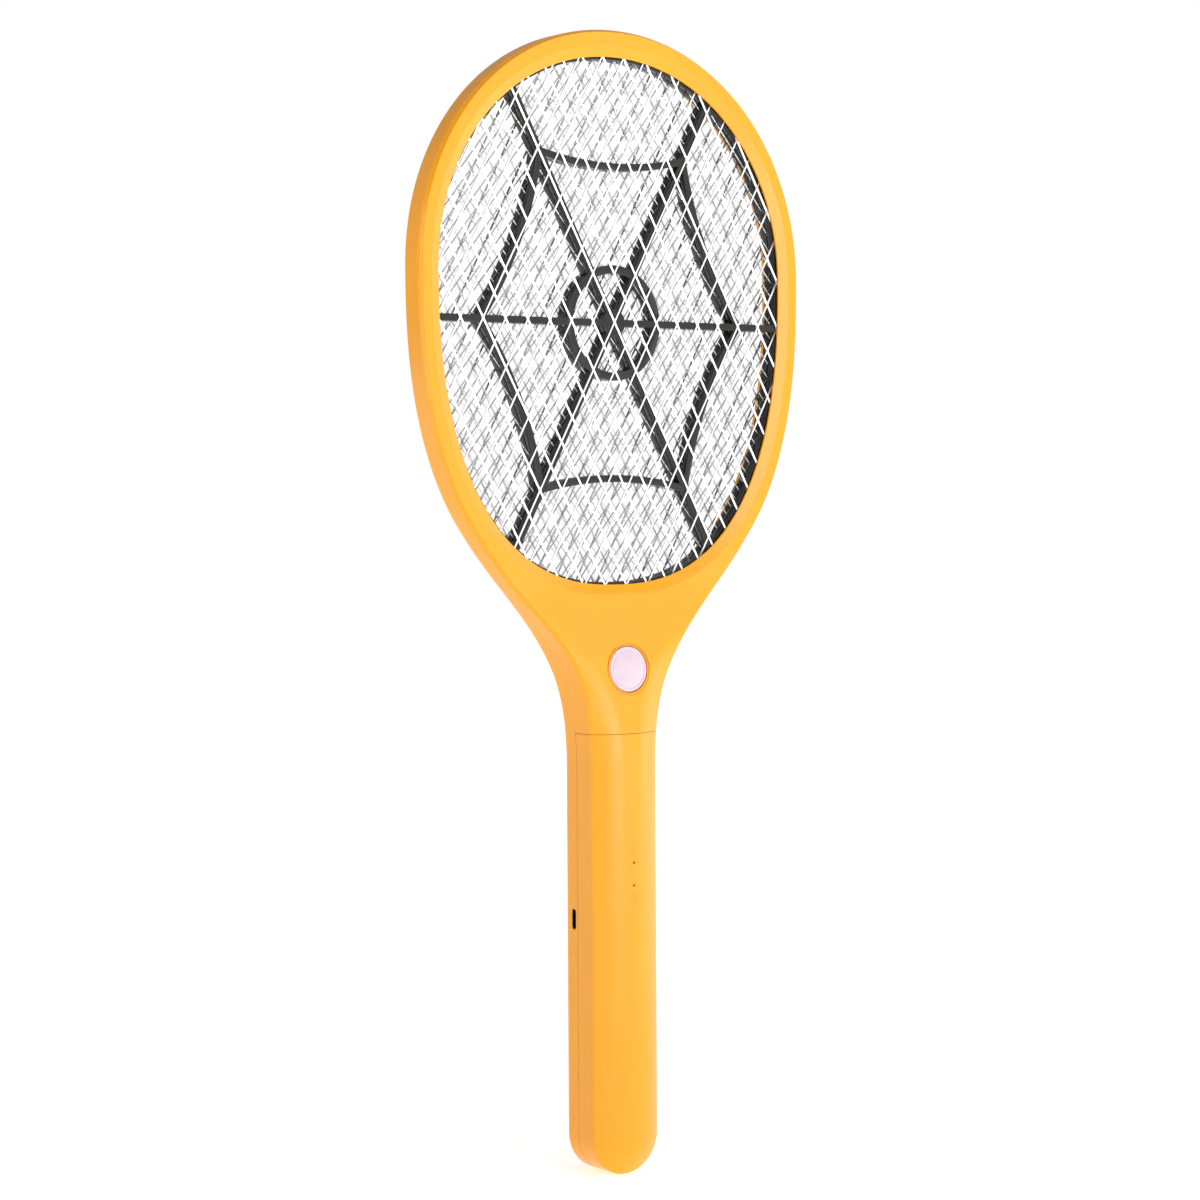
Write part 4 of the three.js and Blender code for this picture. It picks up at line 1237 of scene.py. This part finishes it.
def pan_screw():
    """A pan-head screw of unit head radius, its seat at the origin, with a cross recess."""
    shank = [(0.0, -1.6), (0.46, -1.6), (0.46, 0.0)]
    head = [(1.0, 0.0), (1.0, 0.14), (0.96, 0.3), (0.86, 0.43), (0.68, 0.53), (0.4, 0.58), (0.0, 0.6)]
    to_origin = Matrix.Translation(-Vector(ORIGIN))
    screw = lathe("screw", shank + head, (0.0, 0.0), 40)
    screw.data.transform(to_origin)
    for wide, tall in ((1.1, 0.24), (0.24, 1.1)):
        x, h = wide / 2, tall / 2
        bar = prism("cutter", [(-x, -h), (x, -h), (x, h), (-x, h)], 0.22, 1.0)
        bar.data.transform(to_origin)
        cut(screw, [bar])
    return smooth_by_angle(screw, 30)


def screw_tree():
    """Geometry nodes: one screw on each point, scaled by its size and turned at random."""
    inputs = [("Seats", "Geometry"), ("Screw", "Object"), ("Seed", "Int"), ("Metal", "Material")]
    board, given = node_group("screws_on_points", inputs, "Screws")
    info = board.add("GeometryNodeObjectInfo", {}, {"Object": given["Screw"]}, output=4)
    size = board.add("GeometryNodeInputNamedAttribute", {"data_type": "FLOAT"}, {"Name": "size"})
    turn = board.add(
        "FunctionNodeRandomValue", {"data_type": "FLOAT_VECTOR"},
        {"Min": (0.0, 0.0, 0.0), "Max": (0.0, math.pi, 0.0), "Seed": given["Seed"]},
    )
    laid = board.add(
        "GeometryNodeInstanceOnPoints", {},
        {"Points": given["Seats"], "Instance": info, "Rotation": turn, "Scale": size},
    )
    return painted_output(board, "Screws", laid, given["Metal"])


# ---- operators ---------------------------------------------------------------------


class SWATTER_OT_mouldings(bpy.types.Operator):
    """Make the three yellow mouldings, with the button's well and the small openings"""

    bl_idname = "swatter.mouldings"
    bl_label = "Mouldings"

    def execute(self, context):
        skin = Skin()
        front = moulding("head_front", ("ring", "shoulder", "neck"), skin)
        cut(front, button_cutters(skin))
        cover = moulding("handle_front", ("handle", "end"), skin)
        cut(cover, [cylinder(0.6 * MM, (0.0, h), AHEAD, -4 * MM, 32) for h in PINHOLES])
        back = moulding("long_back", RIGHT_SIDE, skin, front=False)
        slot = slot_outline(9.3 * MM, 3.0 * MM)
        mouth = side_bar("cutter", slot, SOCKET_PLACE, -25 * MM, -12 * MM)
        cut(back, recess_cutters() + [mouth])
        for piece, node in ((front, "front_frame"), (cover, "handle_cover"), (back, "rear_shell")):
            smooth_by_angle(piece)
            finish_piece(piece, "housing", "yellow_plastic", node)
        return {"FINISHED"}


class SWATTER_OT_grids(bpy.types.Operator):
    """Make the three metal grids"""

    bl_idname = "swatter.grids"
    bl_label = "Metal grids"

    def execute(self, context):
        grid = settings("grid")
        tree = lattice_tree()
        wide = (grid.cell_width, grid.cell_height)
        fine = (grid.fine_width, grid.fine_height)
        plan = (
            ("front_grid", "front_mesh", 1.2, wide, grid.strand, 0.25, (1.15, 2.6)),
            ("centre_grid", "centre_mesh", 4.4, fine, grid.fine_strand, 0.35, (0.62, 0.95)),
            ("rear_grid", "rear_mesh", 8.9, wide, grid.strand, 0.25, (1.15, 2.6)),
        )
        for name, node, middle, cell, strand, tilt, knuckle in plan:
            sizes = (knuckle[0] * MM, knuckle[1] * MM)
            piece = metal_grid(name, tree, middle * MM, cell, strand, tilt, sizes)
            # The centre and rear grids take the darker copy of the steel, which is painted shade.
            if node != "front_mesh":
                one_finish(piece, [finish_named("fine_mesh_metal")])
            finish_piece(piece, "housing", "mesh_metal", node)
        return {"FINISHED"}


class SWATTER_OT_webs(bpy.types.Operator):
    """Make the two black spacers with their webs"""

    bl_idname = "swatter.webs"
    bl_label = "Web spacers"

    def execute(self, context):
        for name, node, front, depth in (
            ("front_web", "front_spacer", 1.5, 2.6), ("rear_web", "rear_spacer", 4.7, 3.9)
        ):
            piece = web_spacer(name, front * MM, depth * MM)
            finish_piece(piece, "housing", "black_plastic", node)
        return {"FINISHED"}


class SWATTER_OT_button(bpy.types.Operator):
    """Make the push button"""

    bl_idname = "swatter.button"
    bl_label = "Push button"

    def execute(self, context):
        button = settings("button")
        surface, slope = button_seat(Skin())
        face = surface + button.sunk
        radius = button.radius
        edge = 0.45 * MM
        rim = [(radius - edge * (1 - math.sin(t)), face + edge * (1 - math.cos(t)))
               for t in np.linspace(0.0, np.pi / 2, 8)]
        rise = 8.1 * MM
        dome = [(rise * s, face - button.dome * (1 - s * s)) for s in np.linspace(0.0, 1.0, 14)]
        low = face + 0.16 * MM
        step = [(rise + 0.1 * MM, low), (rise + 0.35 * MM, low), (rise + 0.55 * MM, face)]
        back = button.flange_front
        flange_back = back + 0.7 * MM
        bore, roof = radius - 1.4 * MM, -5.4 * MM
        stem, stem_end = 2 * MM, -2.6 * MM
        skirt = [(radius, back), (button.flange, back), (button.flange, flange_back),
                 (bore, flange_back), (bore, roof), (stem, roof), (stem, stem_end), (0.0, stem_end)]
        profile = dome + step + rim + skirt
        piece = lathe("push_button", profile, (0.0, button.height), 128, "button_plastic")
        lean_share = 0.7
        smooth_by_angle(lean(piece, slope * lean_share, face + 0.6 * MM), 30)
        finish_piece(piece, "button", "button_plastic", "button_cap")
        return {"FINISHED"}


class SWATTER_OT_screws(bpy.types.Operator):
    """Make the screws on the back"""

    bl_idname = "swatter.screws"
    bl_label = "Case screws"

    def execute(self, context):
        places = screw_places()
        seats = new_object("case_screws", in_frame([p[:3] for p in places]), [])
        size = seats.data.attributes.new("size", "FLOAT", "POINT")
        size.data.foreach_set("value", [p[3] for p in places])
        screw = pan_screw()
        values = {"Screw": screw, "Seed": 7, "Metal": finish_named("screw_steel")}
        piece = with_nodes(seats, screw_tree(), values)
        discard(screw)
        nodes = [f"ring_screw_{i}" for i in range(1, 9)]
        nodes += ["neck_screw_1", "neck_screw_2", "handle_screw_1", "handle_screw_2"]
        finish_piece(piece, "housing", "screw_steel", *nodes)
        return {"FINISHED"}


class SWATTER_OT_socket(bpy.types.Operator):
    """Make the charging socket's shell and tongue"""

    bl_idname = "swatter.socket"
    bl_label = "Charging socket"

    def execute(self, context):
        outer, inner = slot_outline(8.9 * MM, 2.8 * MM), slot_outline(8.3 * MM, 2.2 * MM)
        bar = slot_outline(6.6 * MM, 0.7 * MM, 8)
        place = SOCKET_PLACE
        shell = side_bar("socket_shell", outer, place, -17.2 * MM, -8 * MM, "socket_steel")
        cut(shell, [side_bar("cutter", inner, place, -20 * MM, -8.6 * MM)])
        tongue = side_bar("socket_tongue", bar, place, -14.2 * MM, -8.8 * MM, "component_black")
        finish_piece(smooth_by_angle(shell), "housing", "socket_steel", "usb_shell")
        finish_piece(smooth_by_angle(tongue), "housing", "component_black", "usb_tongue")
        return {"FINISHED"}


class SWATTER_OT_marks(bpy.types.Operator):
    """Make the two small printed marks beside the indicator lights"""

    bl_idname = "swatter.marks"
    bl_label = "Printed marks"

    def execute(self, context):
        skin = Skin()
        bolt = [(0.9, 2.6), (-1.0, -0.1), (-0.1, -0.1), (-0.9, -2.6), (1.0, 0.3), (0.1, 0.3)]
        cell = [(-1.15, -2.4), (1.15, -2.4), (1.15, 2.1), (0.45, 2.1), (0.45, 2.6), (-0.45, 2.6),
                (-0.45, 2.1), (-1.15, 2.1)]
        cell_hole = [(-0.8, -2.05), (0.8, -2.05), (0.8, 1.75), (-0.8, 1.75)]
        proud, buried = 0.02 * MM, 0.35 * MM
        for name, height, outline, hole in (
            ("charge_mark", 144.5, bolt, None), ("cell_mark", 121.6, cell, cell_hole)
        ):
            flat = [(x * MM, (height + z) * MM) for x, z in outline]
            top = float(skin.front(np.array([[0.0, height * MM]]))[0])
            piece = prism(name, flat, top - proud, top + buried, "printed_mark")
            if hole:
                inner = [(x * MM, (height + z) * MM) for x, z in hole]
                cut(piece, [prism("cutter", inner, top - 5 * MM, top + 5 * MM)])
            finish_piece(piece, "housing", "yellow_plastic")
        return {"FINISHED"}


NODE_FINISHES = {
    "yellow_plastic": ("front_frame", "rear_shell", "handle_cover"),
    "mesh_metal": ("front_mesh", "centre_mesh", "rear_mesh"),
    "black_plastic": ("front_spacer", "rear_spacer", "switch_plunger"),
    "button_plastic": ("button_cap",),
    "component_black": ("switch_body", "usb_tongue", "doubler_diode", "transistor"),
    "board_laminate": ("main_board",),
    "socket_steel": ("usb_shell",),
    "led_lens": ("led_charge", "led_power"),
    "ferrite": ("transformer_core",),
    "copper_wire": ("transformer_winding",),
    "capacitor_plastic": ("storage_capacitor",),
    "disc_ceramic": ("doubler_capacitor",),
    "resistor_body": ("resistor",),
    "cell_wrap": ("battery_cell",),
    "red_insulation": ("battery_lead_red", "high_voltage_lead"),
    "black_insulation": ("battery_lead_black", "front_ground_lead", "rear_ground_lead"),
    "screw_steel": ("ring_screw", "neck_screw", "handle_screw", "board_screw"),
}


class SWATTER_OT_inner_parts(bpy.types.Operator):
    """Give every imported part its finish"""

    bl_idname = "swatter.inner_parts"
    bl_label = "Inner parts"

    def execute(self, context):
        for name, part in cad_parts.items():
            found = [f for f, starts in NODE_FINISHES.items() if name.startswith(starts)]
            if not found:
                raise RuntimeError(f"no finish is given for {name}")
            part.data.materials.clear()
            part.data.materials.append(finish_named(found[0]))
        return {"FINISHED"}


LIGHTS_AIM = (0.0, 0.0, 0.15)
LIGHTS = (  # name, the setting with its power, place, width and height
    ("key_softbox", "key", (-0.03, -1.75, 0.45), (0.75, 1.6)),
    ("wide_softbox", "wide", (0.9, -1.5, 0.45), (0.9, 1.6)),
    ("strip_light", "strip", (-1.6, 0.25, 0.3), (0.22, 1.4)),
    ("fill_softbox", "fill", (1.6, -0.65, 0.4), (1.0, 1.5)),
    ("side_softbox", "side", (-1.1, 1.3, 0.55), (1.3, 1.6)),
)


def area_light(name, place, aim, size, power):
    data = bpy.data.lights.new(name, "AREA")
    data.shape = "RECTANGLE"
    data.size, data.size_y = size
    data.energy = power
    light = bpy.data.objects.new(name, data)
    light.location = place
    light.rotation_mode = "QUATERNION"
    light.rotation_quaternion = (Vector(aim) - Vector(place)).to_track_quat("-Z", "Y")
    bpy.context.scene.collection.objects.link(light)


def studio_sky(strength, shade_strength, towards_camera):
    """A white tent with a darker zone around the camera and a plain white backdrop."""
    world = bpy.data.worlds.new("studio")
    bpy.context.scene.world = world
    world.use_nodes = True
    board = Board(world.node_tree)
    board.tree.nodes.clear()
    seen = board.add("ShaderNodeLightPath", output=0)
    way = board.add("ShaderNodeTexCoord")
    white = (1, 1, 1, 1)
    zone_edge, zone_heart = 0.6, 0.95
    towards = {0: way, 1: tuple(towards_camera)}
    facing = board.add("ShaderNodeVectorMath", {"operation": "DOT_PRODUCT"}, towards, output=1)
    glow = board.add("ShaderNodeMapRange", {"interpolation_type": "SMOOTHSTEP"}, {
        "Value": facing, "From Min": zone_edge, "From Max": zone_heart,
        "To Min": strength, "To Max": shade_strength,
    })
    light = board.add("ShaderNodeBackground", {}, {"Color": white, "Strength": glow})
    backdrop = board.add("ShaderNodeBackground", {}, {"Color": white, "Strength": 1.0})
    both = board.add("ShaderNodeMixShader", {}, {0: seen, 1: light, 2: backdrop})
    board.add("ShaderNodeOutputWorld", {}, {"Surface": both})


def pale_floor():
    """A large pale disc under the object, with a painted glow that is weaker near the object and
    stronger towards its rim.
    """
    count = 96
    radius = 4.0
    z = CAD_BOX[0].z - 0.2 * MM
    turns = [2 * math.pi * i / count for i in range(count)]
    points = [(radius * math.cos(turn), radius * math.sin(turn), z) for turn in turns]
    floor = new_object("floor", points, [list(range(count))])
    finish = Finish("pale_floor")
    grain = finish.noise(scale=60.0, detail=3.0)
    tint = finish.mix(finish.spread(grain, 0.0, 1.0), (0.90, 0.90, 0.90), (0.93, 0.93, 0.93))
    away = finish.add("ShaderNodeVectorMath", {"operation": "LENGTH"}, {0: finish.place}, output=1)
    # painted light: the floor's emission grows with the distance from the middle
    pale_from, pale_to = 0.25, 1.2
    painted_glow_share = finish.add(
        "ShaderNodeMapRange", {"interpolation_type": "SMOOTHSTEP"},
        {"Value": away, "From Min": pale_from, "From Max": pale_to},
    )
    glow = finish.mix(painted_glow_share, (0.58, 0.58, 0.58), (0.9, 0.9, 0.9))
    floor.data.materials.append(finish.surface({
        "Base Color": tint, "Roughness": 0.9, "Specular IOR Level": 0.1,
        "Emission Color": glow, "Emission Strength": 1.0,
    }))


class SWATTER_OT_stage(bpy.types.Operator):
    """Set up the floor, the lights and the camera"""

    bl_idname = "swatter.stage"
    bl_label = "Stage"

    def execute(self, context):
        stage = settings("stage")
        context.scene.view_settings.view_transform = "Standard"
        pale_floor()
        for name, power, place, size in LIGHTS:
            area_light(name, place, LIGHTS_AIM, size, getattr(stage, power))
        camera = bpy.data.objects.new("camera", bpy.data.cameras.new("camera"))
        context.scene.collection.objects.link(camera)
        a, e = stage.azimuth, stage.elevation
        back = Vector((math.sin(a) * math.cos(e), -math.cos(a) * math.cos(e), math.sin(e)))
        studio_sky(stage.sky, stage.shade, back)
        target = Vector(in_frame([stage.target_x, 0.0, stage.target_height]))
        camera.location = target + back * stage.distance
        aim = (-back).to_track_quat("-Z", "Y")
        camera.rotation_mode = "QUATERNION"
        camera.rotation_quaternion = aim @ Matrix.Rotation(stage.roll, 3, "Z").to_quaternion()
        camera.data.lens = stage.lens
        camera.data.sensor_width = 36.0
        camera.data.clip_start = 0.05
        context.scene.camera = camera
        return {"FINISHED"}


OPERATORS = (
    SWATTER_OT_stage,
    SWATTER_OT_inner_parts,
    SWATTER_OT_mouldings,
    SWATTER_OT_grids,
    SWATTER_OT_webs,
    SWATTER_OT_button,
    SWATTER_OT_screws,
    SWATTER_OT_socket,
    SWATTER_OT_marks,
)


class SWATTER_PT_panel(bpy.types.Panel):
    """Lists the operators in the order in which they run"""

    bl_idname = "SWATTER_PT_panel"
    bl_label = "Electric fly swatter"
    bl_space_type = "VIEW_3D"
    bl_region_type = "UI"
    bl_category = "Swatter"

    def draw(self, context):
        for operator in OPERATORS:
            self.layout.operator(operator.bl_idname)


CLASSES = (*GROUPS.values(), *OPERATORS, SWATTER_PT_panel)


def register():
    for item in CLASSES:
        bpy.utils.register_class(item)
    for name, group in GROUPS.items():
        setattr(bpy.types.Scene, name, PointerProperty(type=group))


def unregister():
    for name in GROUPS:
        delattr(bpy.types.Scene, name)
    for item in reversed(CLASSES):
        bpy.utils.unregister_class(item)


def main():
    register()
    for operator in OPERATORS:
        group, action = operator.bl_idname.split(".")
        getattr(getattr(bpy.ops, group), action)()


if __name__ == "__main__":
    main()
